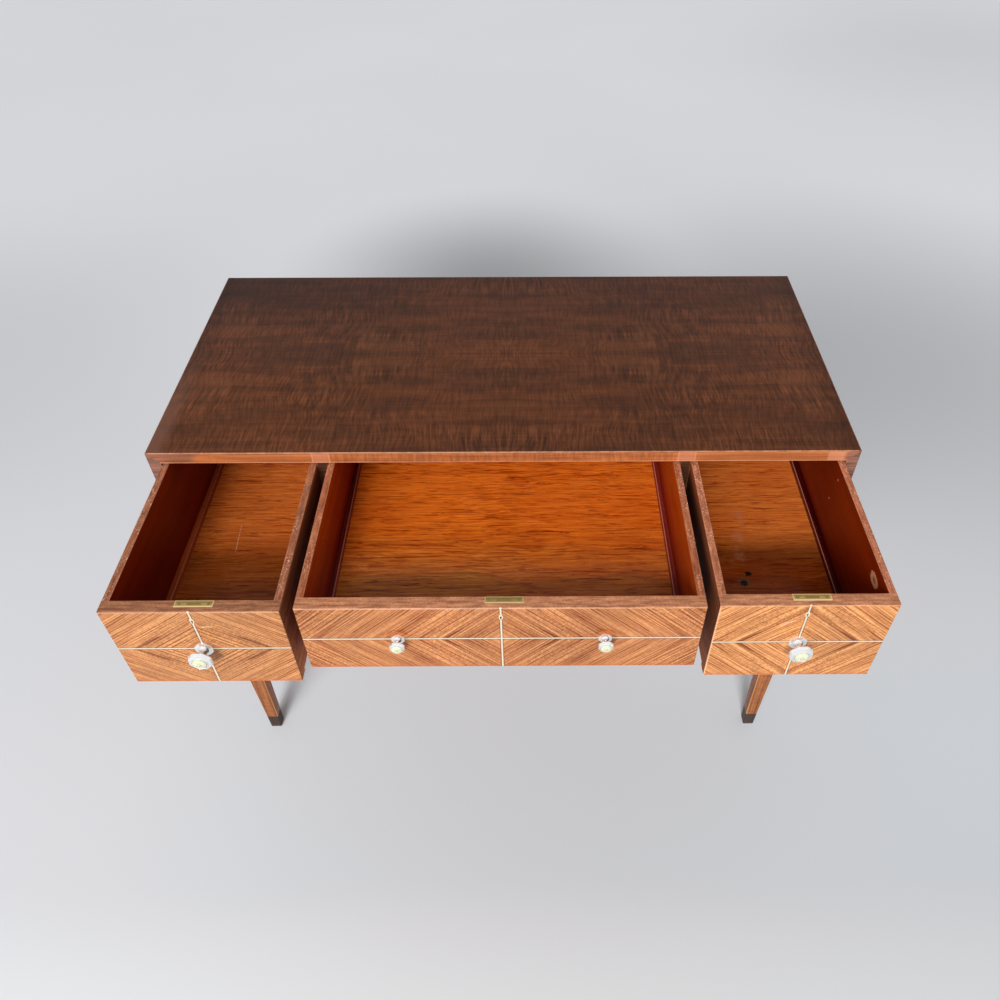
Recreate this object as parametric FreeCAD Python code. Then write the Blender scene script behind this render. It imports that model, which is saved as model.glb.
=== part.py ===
import FreeCAD, Part
import math
import os

os.makedirs("parts", exist_ok=True)

# Writing desk: a mitred waterfall case on four tapered legs, with three inset drawers.
# Millimetres. +Z is up, -Y is the front, +X is the right hand of somebody facing the front.
# The origin is on the floor, at the middle of the space that the desk takes with its drawers open.

# Case
case_width = 1067.0
case_depth = 513.0
desk_height = 768.0
panel_thickness = 19.0
divider_thickness = 15.5
centre_bay_width = 531.6
bay_bottom_thickness = 15.0
back_thickness = 8.0
back_rebate = 9.0
housing_depth = 5.0
housing_setback = 14.0
case_arris = 1.2

# Legs
leg_top_width = 43.0
leg_foot_width = 21.5
leg_side_inset = 16.5
leg_face_inset = 1.5
leg_arris = 1.2
tip_height = 39.0
leg_bolt_radius = 3.0
leg_bolt_reach = 45.0
leg_bolt_wall = 12.0
bolt_head_radius = 6.5
bolt_head_height = 4.0
bolt_hole_fit = 0.1
tenon_width = 24.0
tenon_thickness = 8.0
tenon_length = 40.0
tenon_fit = 0.05

# Drawers
drawer_top_gap = 4.0
front_side_gap = 0.8
front_foot_gap = 1.0
front_thickness = 19.0
side_front_height = 155.0
centre_front_height = 128.0
drawer_length = 470.0
drawer_wall = 10.0
drawer_back_drop = 6.0
drawer_arris = 0.6
bottom_thickness = 5.0
bottom_groove_depth = 5.0
left_opening = 282.0
centre_opening = 278.0
right_opening = 276.0

# Runners and stops
runner_height = 5.0
runner_width = 16.0
running_gap = 0.2
stop_width = 22.0
stop_depth = 18.0
stop_height = 20.0
stop_gap = 0.3

# Slips that hold the drawer bottoms
slip_width = 8.0
slip_height = 20.0
slip_foot = 7.0
slip_round = 3.0

# Dovetails
front_lap = 4.0
tail_pitch = 31.0
tail_share = 0.5
tail_slope_share = 0.16

# Metal stringing and keyhole plates on the drawer fronts
string_width = 2.4
string_depth = 1.2
keyhole_drop = 19.0
keyhole_plate_width = 5.5
keyhole_plate_height = 15.0
key_radius = 1.4
key_slot_width = 1.6
key_slot_drop = 5.0

# Locks
lock_plate_width = 50.0
lock_plate_depth = 11.0
lock_offset = 4.5
lock_plate_thickness = 2.0
lock_body_width = 40.0
lock_wall = 1.2
lock_fit = 0.15
bolt_width = 18.0
bolt_thickness = 3.0
bolt_throw = 9.0
bolt_shoulder_width = 26.0
bolt_shoulder_height = 13.0
talon_width = 9.0
talon_height = 8.0
key_pin_radius = 0.9
strike_clearance = 1.5
strike_depth = 8.0

# Knobs
centre_knob_spacing = 276.0
large_knob_plate = 24.0
large_knob_cup = 32.0
large_knob_disc = 18.5
large_knob_reach = 29.5
small_knob_plate = 17.5
small_knob_cup = 21.0
small_knob_disc = 14.5
small_knob_reach = 20.5
knob_screw_radius = 1.6
knob_fit = 0.1
knob_lip = 0.8
nut_radius = 3.8
nut_height = 2.6
screw_end = 1.2

# Shares of a knob's plate width, cup width, disc width and reach
plate_edge_share = 0.09
plate_rise_share = 0.07
plate_land_share = 0.72
foot_width_share = 0.52
waist_width_share = 0.34
neck_width_share = 0.42
waist_reach_share = 0.30
neck_reach_share = 0.42
flare_width_share = 0.56
flare_reach_share = 0.50
rim_back_reach_share = 0.67
rim_front_reach_share = 0.73
mouth_reach_share = 0.87
disc_seat_share = 0.78
disc_edge_share = 0.89
disc_land_share = 0.95
disc_land_width_share = 0.55
stud_width_share = 0.34
stud_step_share = 0.975
stud_crown_share = 0.55

# Overrun of every cut past the face that it opens through
overrun = 1.0

# Heights, from the top down
case_underside = desk_height - panel_thickness
drawer_top = case_underside - drawer_top_gap
side_bay_floor = drawer_top - side_front_height - front_foot_gap
side_bay_underside = side_bay_floor - bay_bottom_thickness
centre_bay_floor = drawer_top - centre_front_height - front_foot_gap
centre_bay_underside = centre_bay_floor - bay_bottom_thickness

# Places across the case
half_width = case_width / 2
inner_half_width = half_width - panel_thickness
half_centre_bay = centre_bay_width / 2
divider_outer = half_centre_bay + divider_thickness
side_bay_width = inner_half_width - divider_outer
side_bay_centre = (inner_half_width + divider_outer) / 2

# Places from front to back, with the middle of the open desk at zero
open_reach = max(left_opening + large_knob_reach, right_opening + large_knob_reach,
                 centre_opening + small_knob_reach)
case_front = (open_reach - case_depth) / 2
case_back = case_front + case_depth
back_panel_front = case_back - back_thickness


def vec(x, y, z):
    return FreeCAD.Vector(x, y, z)


def block(x, y, z):
    """A box between the low and high values given for each direction."""
    size = (x[1] - x[0], y[1] - y[0], z[1] - z[0])
    return Part.makeBox(size[0], size[1], size[2], vec(x[0], y[0], z[0]))


def prism_along_x(outline, x):
    """A prism whose outline is a list of (y, z) points."""
    points = [vec(x[0], y, z) for y, z in outline]
    face = Part.Face(Part.makePolygon(points + points[:1]))
    return face.extrude(vec(x[1] - x[0], 0, 0))


def prism_along_y(outline, y):
    """A prism whose outline is a list of (x, z) points."""
    points = [vec(x, y[0], z) for x, z in outline]
    face = Part.Face(Part.makePolygon(points + points[:1]))
    return face.extrude(vec(0, y[1] - y[0], 0))


def upright_cylinder(x, y, radius, z):
    return Part.makeCylinder(radius, z[1] - z[0], vec(x, y, z[0]), vec(0, 0, 1))


def level_cylinder(x, z, radius, y):
    return Part.makeCylinder(radius, y[1] - y[0], vec(x, y[0], z), vec(0, 1, 0))


def joined(shapes):
    """One solid from touching shapes, without the seams between them."""
    result = shapes[0]
    for shape in shapes[1:]:
        result = result.fuse(shape)
    return result.removeSplitter()


def cut_all(shape, tools):
    for tool in tools:
        shape = shape.cut(tool)
    return shape


def eased(shape, width, chosen):
    """Chamfer the edges that the test picks out."""
    edges = [edge for edge in shape.Edges if chosen(edge)]
    return shape.makeChamfer(width, edges)


def at(value, place):
    """True where a value lies at a place, within a fraction of the finest fit."""
    return abs(value - place) < tenon_fit / 2


def save(name, solids):
    """Write one node, which may be a group of separate solids."""
    found = []
    for solid in solids:
        found.extend(solid.Solids)
    shape = found[0] if len(found) == 1 else Part.makeCompound(found)
    assert shape.isValid(), name
    shape.exportStep(os.path.join("parts", name + ".step"))


# Case

def bays():
    """Each bay's low and high side, floor height and underside."""
    return {
        "left": ((-inner_half_width, -divider_outer), side_bay_floor, side_bay_underside),
        "centre": ((-half_centre_bay, half_centre_bay), centre_bay_floor, centre_bay_underside),
        "right": ((divider_outer, inner_half_width), side_bay_floor, side_bay_underside),
    }


def back_panel():
    """The back board, notched under the shallower middle bay."""
    edge = inner_half_width + back_rebate
    outline = [
        (-edge, case_underside + back_rebate), (edge, case_underside + back_rebate),
        (edge, side_bay_underside), (divider_outer, side_bay_underside),
        (divider_outer, centre_bay_underside), (-divider_outer, centre_bay_underside),
        (-divider_outer, side_bay_underside), (-edge, side_bay_underside),
    ]
    return prism_along_y(outline, (back_panel_front, case_back))


def divider(side):
    """A divider with a stopped tongue that is housed in the top."""
    x = sorted((side * half_centre_bay, side * divider_outer))
    board = block(x, (case_front, back_panel_front), (side_bay_underside, case_underside))
    tongue = block(x, (case_front + housing_setback, back_panel_front),
                   (case_underside, case_underside + housing_depth))
    return joined([board, tongue])


def bay_bottom(name):
    """A bay's floor, let into the boards on both sides of it."""
    x, floor, underside = bays()[name]
    return block((x[0] - housing_depth, x[1] + housing_depth),
                 (case_front, back_panel_front), (underside, floor))


def bolt_centre_y(place, opened):
    """Middle of a lock bolt, for a front whose face stands at place minus opened."""
    return place - opened + front_thickness - lock_plate_depth / 2


def strike_slots():
    """Mortises in the underside of the top, which take the bolts of the closed drawers."""
    half_x = bolt_width / 2 + strike_clearance
    half_y = bolt_thickness / 2 + strike_clearance
    y = bolt_centre_y(case_front, 0)
    return [block((x - half_x, x + half_x), (y - half_y, y + half_y),
                  (case_underside - overrun, case_underside + strike_depth))
            for x in (lock_offset - side_bay_centre, lock_offset, lock_offset + side_bay_centre)]


def waterfall_shell():
    """Top and sides as one bent board, with its outer edges eased."""
    outer = block((-half_width, half_width), (case_front, case_back),
                  (side_bay_underside, desk_height))
    outer = eased(outer, case_arris, outer_edge)
    inner = block((-inner_half_width, inner_half_width),
                  (case_front - overrun, case_back + overrun),
                  (side_bay_underside - overrun, case_underside))
    return outer.cut(inner)


def outer_edge(edge):
    """The long edges round the outside of the top and the sides."""
    box = edge.BoundBox
    along_depth = box.YLength > panel_thickness and at(box.ZMin, desk_height)
    round_face = box.YLength < panel_thickness and box.ZMax > side_bay_underside + overrun
    return along_depth or round_face


def mitre_wedge(low, high):
    """Space above the two mitre planes, which start at the inner corners of the case."""
    rise = high - case_underside
    drop = case_underside - low
    return prism_along_y([
        (-inner_half_width + drop, low), (-inner_half_width - rise, high),
        (inner_half_width + rise, high), (inner_half_width - drop, low),
    ], (case_front - overrun, case_back + overrun))


def make_case():
    shell = waterfall_shell()
    wedge = mitre_wedge(case_underside - overrun, desk_height + overrun)
    back = back_panel()
    dividers = {"left": divider(-1), "right": divider(1)}
    bottoms = {name: bay_bottom(name) for name in bays()}

    top = cut_all(shell.common(wedge), [back] + list(dividers.values()) + strike_slots())
    save("desk_top", [top])

    centre_cut = bottoms["centre"]
    for name, sign in (("left", -1), ("right", 1)):
        half = block(sorted((0, sign * (half_width + overrun))),
                     (case_front - overrun, case_back + overrun),
                     (side_bay_underside - overrun, desk_height + overrun))
        side = cut_all(shell.cut(wedge).common(half), [back, bottoms[name]] + leg_mortises())
        save("case_side_" + name, [side])
        save("divider_" + name, [cut_all(dividers[name], [bottoms[name], centre_cut])])
        save("bay_bottom_" + name, [cut_all(bottoms[name], leg_bolt_holes())])
    save("bay_bottom_centre", [bottoms["centre"]])
    save("case_back", [back])


# Runners and stops

def make_runners():
    runners = []
    stops = []
    for x, floor, underside in bays().values():
        for wall, inward in ((x[0], 1), (x[1], -1)):
            stop_front = case_front + drawer_length + stop_gap
            runners.append(block(sorted((wall, wall + inward * runner_width)),
                                 (case_front + front_thickness + housing_setback, stop_front - stop_gap),
                                 (floor, floor + runner_height)))
            stops.append(block(sorted((wall, wall + inward * stop_width)),
                               (stop_front, stop_front + stop_depth),
                               (floor, floor + stop_height)))
    save("drawer_runners", runners)
    save("drawer_stops", stops)


# Legs

def corners():
    """Name, side sign and front or back sign of each corner of the case."""
    return [("front_left", -1, -1), ("front_right", 1, -1),
            ("back_left", -1, 1), ("back_right", 1, 1)]


def corner_point(side, face):
    return side * half_width, case_front if face < 0 else case_back


def leg_taper(corner, inward, inset):
    """A leg's outline seen from one side, stood in from the corner of the case by the inset at its foot."""
    foot = corner + inward * inset
    return [(foot, 0), (foot + inward * leg_foot_width, 0),
            (corner + inward * leg_top_width, side_bay_underside), (corner, side_bay_underside)]


def leg_form(side, face):
    """The whole tapered leg with its dark tip, in one piece."""
    x, y = corner_point(side, face)
    seen_from_front = prism_along_y(leg_taper(x, -side, leg_side_inset), sorted((y, y - face * leg_top_width)))
    seen_from_side = prism_along_x(leg_taper(y, -face, leg_face_inset), sorted((x, x - side * leg_top_width)))
    form = seen_from_front.common(seen_from_side)
    return eased(form, leg_arris, lambda edge: not at(edge.BoundBox.ZMin, side_bay_underside))


def leg_bolt_place(side, face):
    x, y = corner_point(side, face)
    return (x - side * (leg_top_width - leg_bolt_wall), y - face * leg_top_width / 2)


def leg_bolt_holes():
    """Clearance holes and six-sided head recesses in the floors of the side bays."""
    holes = []
    for name, side, face in corners():
        x, y = leg_bolt_place(side, face)
        holes.append(upright_cylinder(x, y, leg_bolt_radius + bolt_hole_fit,
                                      (side_bay_underside - overrun, side_bay_floor + overrun)))
        holes.append(bolt_head(x, y, bolt_head_radius + bolt_hole_fit,
                               (side_bay_floor - bolt_head_height, side_bay_floor + overrun)))
    return holes


def bolt_head(x, y, radius, z):
    """A six-sided head, given the distance from its middle to its corners."""
    ring = [vec(x + radius * math.cos(turn), y + radius * math.sin(turn), z[0]) for turn in sixths()]
    return Part.Face(Part.makePolygon(ring + ring[:1])).extrude(vec(0, 0, z[1] - z[0]))


def leg_tenon(side, face, fit):
    """A loose tenon, half in the leg and half in the side board, or with a fit its mortises."""
    corner_x, corner_y = corner_point(side, face)
    x = corner_x - side * panel_thickness / 2
    y = corner_y - face * leg_top_width / 2
    half = (tenon_thickness / 2 + fit, tenon_width / 2 + fit, tenon_length / 2 + fit)
    return block((x - half[0], x + half[0]), (y - half[1], y + half[1]),
                 (side_bay_underside - half[2], side_bay_underside + half[2]))


def leg_mortises():
    return [leg_tenon(side, face, tenon_fit) for name, side, face in corners()]


def leg_bolt(side, face):
    """A wood bolt whose head is let into the floor of the bay."""
    x, y = leg_bolt_place(side, face)
    seat = side_bay_floor - bolt_head_height
    shank = upright_cylinder(x, y, leg_bolt_radius, (seat - leg_bolt_reach, seat))
    return joined([shank, bolt_head(x, y, bolt_head_radius, (seat, side_bay_floor))])


def sixths():
    return [math.pi * step / 3 for step in range(6)]


def make_legs():
    tips = []
    bolts = []
    tenons = []
    pilot_foot = side_bay_floor - bolt_head_height - leg_bolt_reach
    for name, side, face in corners():
        form = leg_form(side, face)
        tip_space = block(sorted((0, side * half_width)), (case_front, case_back), (0, tip_height))
        tips.append(form.common(tip_space))
        x, y = leg_bolt_place(side, face)
        pilot = upright_cylinder(x, y, leg_bolt_radius + tenon_fit,
                                 (pilot_foot - overrun, side_bay_underside + overrun))
        leg = cut_all(form.cut(tip_space), [pilot] + leg_mortises())
        save("leg_" + name, [leg])
        bolts.append(leg_bolt(side, face))
        tenons.append(leg_tenon(side, face, 0))
    save("foot_tips", tips)
    save("leg_bolts", bolts)
    save("leg_tenons", tenons)


# Drawers

def drawer_list():
    """The three drawers with their places, sizes and knobs."""
    side_width = side_bay_width - 2 * front_side_gap
    large = (large_knob_plate, large_knob_cup, large_knob_disc, large_knob_reach)
    small = (small_knob_plate, small_knob_cup, small_knob_disc, small_knob_reach)
    return [
        {"name": "left", "x": -side_bay_centre, "width": side_width, "height": side_front_height,
         "opened": left_opening, "knob": large, "knobs": (0,)},
        {"name": "centre", "x": 0, "width": centre_bay_width - 2 * front_side_gap,
         "height": centre_front_height, "opened": centre_opening, "knob": small,
         "knobs": (-centre_knob_spacing / 2, centre_knob_spacing / 2)},
        {"name": "right", "x": side_bay_centre, "width": side_width, "height": side_front_height,
         "opened": right_opening, "knob": large, "knobs": (0,)},
    ]


def tail_row(x, y_root, y_tip, z):
    """Dovetails between two heights, narrow at the root and wide at the tip, with half a pin at each end."""
    count = max(2, round((z[1] - z[0]) / tail_pitch))
    pitch = (z[1] - z[0]) / count
    flare = abs(y_tip - y_root) * tail_slope_share
    root_half = pitch * tail_share / 2
    tip_half = root_half + flare
    row = []
    for step in range(count):
        place = z[0] + pitch * (step + tail_share)
        row.append(prism_along_x([(y_root, place - root_half), (y_root, place + root_half),
                                  (y_tip, place + tip_half), (y_tip, place - tip_half)], x))
    return row


def slip_profile(wall, inward, z_low):
    """Cross-section of a slip: a square foot with its inner top edge rounded over."""
    top = z_low + slip_height
    far = wall + inward * slip_width
    near_round = far - inward * slip_round
    middle = math.sqrt(0.5)
    points = [vec(wall, 0, z_low), vec(far, 0, z_low), vec(far, 0, top - slip_round)]
    centre = (near_round, top - slip_round)
    mid = vec(centre[0] + inward * slip_round * middle, 0, centre[1] + slip_round * middle)
    end = vec(near_round, 0, top)
    edges = [Part.LineSegment(points[0], points[1]).toShape(),
             Part.LineSegment(points[1], points[2]).toShape(),
             Part.Arc(points[2], mid, end).toShape(),
             Part.LineSegment(end, vec(wall, 0, top)).toShape(),
             Part.LineSegment(vec(wall, 0, top), points[0]).toShape()]
    return Part.Face(Part.Wire(edges))


def keyhole(x, z, y):
    """The round eye of a keyhole with the slot for the key's bit below it."""
    eye = level_cylinder(x, z, key_radius, y)
    slot = block((x - key_slot_width / 2, x + key_slot_width / 2), y, (z - key_slot_drop, z))
    return joined([eye, slot])


def pointed_oval(x, z, y):
    """The keyhole plate's outline: two arcs that meet in points above and below."""
    half_w = keyhole_plate_width / 2
    half_h = keyhole_plate_height / 2
    top = vec(x, y[0], z + half_h)
    foot = vec(x, y[0], z - half_h)
    arcs = [Part.Arc(top, vec(x + half_w, y[0], z), foot).toShape(),
            Part.Arc(foot, vec(x - half_w, y[0], z), top).toShape()]
    return Part.Face(Part.Wire(arcs)).extrude(vec(0, y[1] - y[0], 0))


def eight_sided(x, z, outline):
    """A solid with eight flat sides about a knob's axis, from (width across the flats, y) points."""
    reach = max(width for width, y in outline)
    right = [vec(x + width / 2, y, z - reach) for width, y in outline]
    left = [vec(x - width / 2, y, z - reach) for width, y in reversed(outline)]
    slab = Part.Face(Part.makePolygon(right + left + right[:1])).extrude(vec(0, 0, 2 * reach))
    form = slab
    for step in range(1, 4):
        turned_slab = slab.copy()
        turned_slab.rotate(vec(x, 0, z), vec(0, 1, 0), 180 * step / 4)
        form = form.common(turned_slab)
    return form


def make_knob(x, z, face_y, size):
    """One knob, standing out towards -Y: its plate, cup, disc, and screw with the nut on its end."""
    plate_width, cup_width, disc_width, reach = size
    shank_hole = level_cylinder(x, z, knob_screw_radius + knob_fit, (face_y - reach, face_y + overrun))

    plate_edge_y = face_y - plate_width * plate_edge_share
    plate_land_y = plate_edge_y - plate_width * plate_rise_share
    plate = eight_sided(x, z, [(plate_width, face_y), (plate_width, plate_edge_y),
                               (plate_width * plate_land_share, plate_land_y)])

    def out(share):
        return face_y - reach * share

    cup = eight_sided(x, z, [
        (plate_width * foot_width_share, plate_land_y),
        (plate_width * waist_width_share, out(waist_reach_share)),
        (plate_width * neck_width_share, out(neck_reach_share)),
        (cup_width * flare_width_share, out(flare_reach_share)),
        (cup_width, out(rim_back_reach_share)),
        (cup_width, out(rim_front_reach_share)),
        (disc_width + 2 * knob_lip, out(mouth_reach_share)),
    ])
    seat = eight_sided(x, z, [(disc_width + 2 * knob_fit, out(mouth_reach_share) - overrun),
                              (disc_width + 2 * knob_fit, out(disc_seat_share))])
    disc = eight_sided(x, z, [(disc_width, out(disc_seat_share)), (disc_width, out(disc_edge_share)),
                              (disc_width * disc_land_width_share, out(disc_land_share))])

    back_y = face_y + front_thickness
    stud_width = disc_width * stud_width_share
    stud = eight_sided(x, z, [(stud_width, out(disc_land_share)), (stud_width, out(stud_step_share)),
                              (stud_width * stud_crown_share, out(1))])
    shank = level_cylinder(x, z, knob_screw_radius,
                           (out(disc_land_share), back_y + nut_height + screw_end))
    ring = [vec(x + nut_radius * math.cos(turn), back_y, z + nut_radius * math.sin(turn))
            for turn in sixths()]
    nut = Part.Face(Part.makePolygon(ring + ring[:1])).extrude(vec(0, nut_height, 0))
    return {"plate": [plate.cut(shank_hole)],
            "cup": [cup.cut(seat).cut(shank_hole)],
            "disc": [disc.cut(shank_hole)],
            "screw": [joined([stud, shank, nut])]}


def make_lock(key_x, back_y):
    """A half-mortise lock let into the back and the top edge of a front: its case and its bolt.

    The lock stands to the right of its keyhole by the lock offset.
    """
    x = key_x + lock_offset
    body_height = bolt_throw + bolt_shoulder_height + lock_wall + lock_fit
    top_z = drawer_top
    under_plate = top_z - lock_plate_thickness
    half_body = lock_body_width / 2
    plate = block((x - lock_plate_width / 2, x + lock_plate_width / 2),
                  (back_y - lock_plate_depth, back_y), (under_plate, top_z))
    body_y = (back_y - lock_plate_depth, back_y)
    body = block((x - half_body, x + half_body), body_y, (under_plate - body_height, under_plate))
    pocket = joined([plate, body])

    hollow = block((x - half_body + lock_wall, x + half_body - lock_wall),
                   (body_y[0] + lock_wall, body_y[1] - lock_wall),
                   (under_plate - body_height + lock_wall, under_plate))
    bolt_y = back_y - lock_plate_depth / 2
    half_slot_x = bolt_width / 2 + lock_fit
    half_slot_y = bolt_thickness / 2 + lock_fit
    slot = block((x - half_slot_x, x + half_slot_x), (bolt_y - half_slot_y, bolt_y + half_slot_y),
                 (under_plate - overrun, top_z + overrun))
    key_z = drawer_top - keyhole_drop
    key_way = keyhole(key_x, key_z, (body_y[0] - overrun, body_y[0] + lock_wall + overrun))
    pin = level_cylinder(key_x, key_z, key_pin_radius, (body_y[0] + lock_wall, body_y[1] - lock_wall))
    lock_case = joined([cut_all(pocket, [hollow, slot, key_way]), pin])

    shoulder_top = under_plate - bolt_throw
    shoulder_foot = shoulder_top - bolt_shoulder_height
    y = (bolt_y - bolt_thickness / 2, bolt_y + bolt_thickness / 2)
    tongue = block((x - bolt_width / 2, x + bolt_width / 2), y, (shoulder_top, top_z))
    shoulder = block((x - bolt_shoulder_width / 2, x + bolt_shoulder_width / 2), y,
                     (shoulder_foot, shoulder_top))
    talon = block((key_x - talon_width / 2, key_x + talon_width / 2), (y[0] - overrun, y[1] + overrun),
                  (shoulder_foot - overrun, shoulder_foot + talon_height))
    bolt = joined([tongue, shoulder]).cut(talon)
    return pocket, lock_case, bolt


def make_drawer(drawer):
    name = drawer["name"]
    x_mid = drawer["x"]
    x = (x_mid - drawer["width"] / 2, x_mid + drawer["width"] / 2)
    face_y = case_front - drawer["opened"]
    back_y = face_y + front_thickness
    end_y = face_y + drawer_length
    front_foot = drawer_top - drawer["height"]
    bay_floor = front_foot - front_foot_gap
    wall_foot = bay_floor + runner_height + running_gap
    bottom_low = wall_foot + slip_foot
    bottom_high = bottom_low + bottom_thickness
    inner = (x[0] + drawer_wall, x[1] - drawer_wall)
    mid_z = drawer_top - drawer["height"] / 2
    key_z = drawer_top - keyhole_drop

    # Front board, with its face edges eased
    board = block(x, (face_y, back_y), (front_foot, drawer_top))
    board = eased(board, drawer_arris, lambda edge: at(edge.BoundBox.YMax, face_y))

    # Stringing in shallow grooves, and the keyhole plate on its upright line
    half_string = string_width / 2
    groove_y = (face_y - overrun, face_y + string_depth)
    level_line = block((x[0] - overrun, x[1] + overrun), groove_y, (mid_z - half_string, mid_z + half_string))
    upright_line = block((x_mid - half_string, x_mid + half_string), groove_y,
                         (front_foot - overrun, drawer_top + overrun))
    plate_space = pointed_oval(x_mid, key_z, (face_y, face_y + string_depth))
    key_hole = keyhole(x_mid, key_z, (face_y - overrun, back_y - lock_plate_depth + overrun))
    screw_holes = [level_cylinder(x_mid + offset, mid_z, knob_screw_radius + knob_fit,
                                  (face_y - overrun, back_y + overrun)) for offset in drawer["knobs"]]
    lines = cut_all(joined([level_line, upright_line]).common(board), [plate_space] + screw_holes)
    save(name + "_inlay", [lines])
    save(name + "_escutcheon", [plate_space.cut(key_hole)])

    # Lock, let into the front
    lock_space, lock_case, lock_bolt = make_lock(x_mid, back_y)
    save(name + "_lock_case", [lock_case])
    save(name + "_lock_bolt", [lock_bolt])

    # Knobs
    knob_parts = {}
    for offset in drawer["knobs"]:
        for piece, solids in make_knob(x_mid + offset, mid_z, face_y, drawer["knob"]).items():
            knob_parts.setdefault(piece, []).extend(solids)
    for piece, solids in knob_parts.items():
        save(name + "_knob_" + piece, solids)

    # Dovetails at the front are lapped, and those at the back go through
    left_x = (x[0], inner[0])
    right_x = (inner[1], x[1])
    lap_y = face_y + front_lap
    front_tails = (tail_row(left_x, back_y, lap_y, (wall_foot, drawer_top))
                   + tail_row(right_x, back_y, lap_y, (wall_foot, drawer_top)))
    back_top = drawer_top - drawer_back_drop
    back_z = (bottom_high, back_top)
    back_inner_y = end_y - drawer_wall
    back_tails = (tail_row(left_x, back_inner_y, end_y, back_z)
                  + tail_row(right_x, back_inner_y, end_y, back_z))

    bottom = block((inner[0] + slip_width - bottom_groove_depth, inner[1] - slip_width + bottom_groove_depth),
                   (back_y - bottom_groove_depth, end_y), (bottom_low, bottom_high))
    front = cut_all(board, [level_line, upright_line, plate_space, key_hole, lock_space, bottom]
                    + screw_holes + front_tails)
    back = cut_all(block(x, (back_inner_y, end_y), back_z), back_tails)
    save(name + "_drawer_front", [front])
    save(name + "_drawer_back", [back])
    save(name + "_drawer_bottom", [bottom])

    for hand, wall_x in (("left", left_x), ("right", right_x)):
        wall = block(wall_x, (lap_y, end_y), (wall_foot, drawer_top))
        save(name + "_drawer_side_" + hand, [cut_all(wall, [front, back])])

    slips = []
    for wall, inward in ((inner[0], 1), (inner[1], -1)):
        profile = slip_profile(wall, inward, wall_foot)
        profile.translate(vec(0, back_y, 0))
        slips.append(profile.extrude(vec(0, end_y - back_y, 0)).cut(bottom).cut(back))
    save(name + "_drawer_slips", slips)


make_case()
make_runners()
make_legs()
for one_drawer in drawer_list():
    make_drawer(one_drawer)
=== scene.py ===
import math

import bmesh
import bpy
from bpy.props import FloatProperty, FloatVectorProperty, PointerProperty
from mathutils import Matrix, Vector


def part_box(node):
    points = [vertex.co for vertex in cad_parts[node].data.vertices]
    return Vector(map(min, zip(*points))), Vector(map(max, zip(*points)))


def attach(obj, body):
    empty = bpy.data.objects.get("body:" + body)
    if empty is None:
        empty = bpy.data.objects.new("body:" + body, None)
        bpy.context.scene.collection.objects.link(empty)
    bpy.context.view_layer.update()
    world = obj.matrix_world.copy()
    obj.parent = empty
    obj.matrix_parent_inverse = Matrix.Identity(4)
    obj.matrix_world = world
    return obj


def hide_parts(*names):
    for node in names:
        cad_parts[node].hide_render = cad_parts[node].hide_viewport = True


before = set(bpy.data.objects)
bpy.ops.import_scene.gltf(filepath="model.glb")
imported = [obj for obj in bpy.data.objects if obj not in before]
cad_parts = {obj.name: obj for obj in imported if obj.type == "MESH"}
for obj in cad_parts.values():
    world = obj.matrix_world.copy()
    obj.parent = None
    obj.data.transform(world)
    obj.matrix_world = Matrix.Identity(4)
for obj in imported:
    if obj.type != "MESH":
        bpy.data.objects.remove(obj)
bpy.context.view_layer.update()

bl_info = {
    "name": "Writing desk with diamond-matched drawers",
    "version": (1, 0, 0),
    "blender": (4, 5, 0),
    "location": "3D View > Sidebar > Desk",
    "description": "Finishes, knobs, locks and studio for a waterfall writing desk with three drawers",
    "category": "Add Mesh",
}

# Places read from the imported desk

DRAWERS = ("left", "centre", "right")
CASE_LOW, CASE_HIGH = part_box("desk_top")
CASE_FRONT = CASE_LOW.y
MM = 0.001


def middle(node):
    low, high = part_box(node)
    return (low + high) / 2


def shade(red, green, blue):
    """A linear colour from the three values that a paint chart gives, from 0 to 255."""
    def linear(value):
        value = value / 255
        return value / 12.92 if value <= 0.04045 else ((value + 0.055) / 1.055) ** 2.4
    return (linear(red), linear(green), linear(blue))


def colour_choice(name, description, chart):
    return FloatVectorProperty(name=name, description=description, subtype="COLOR",
                               size=3, min=0, max=1, default=shade(*chart))


def plain_number(name, description, default):
    return FloatProperty(name=name, description=description, default=default)


# What a user may change


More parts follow.
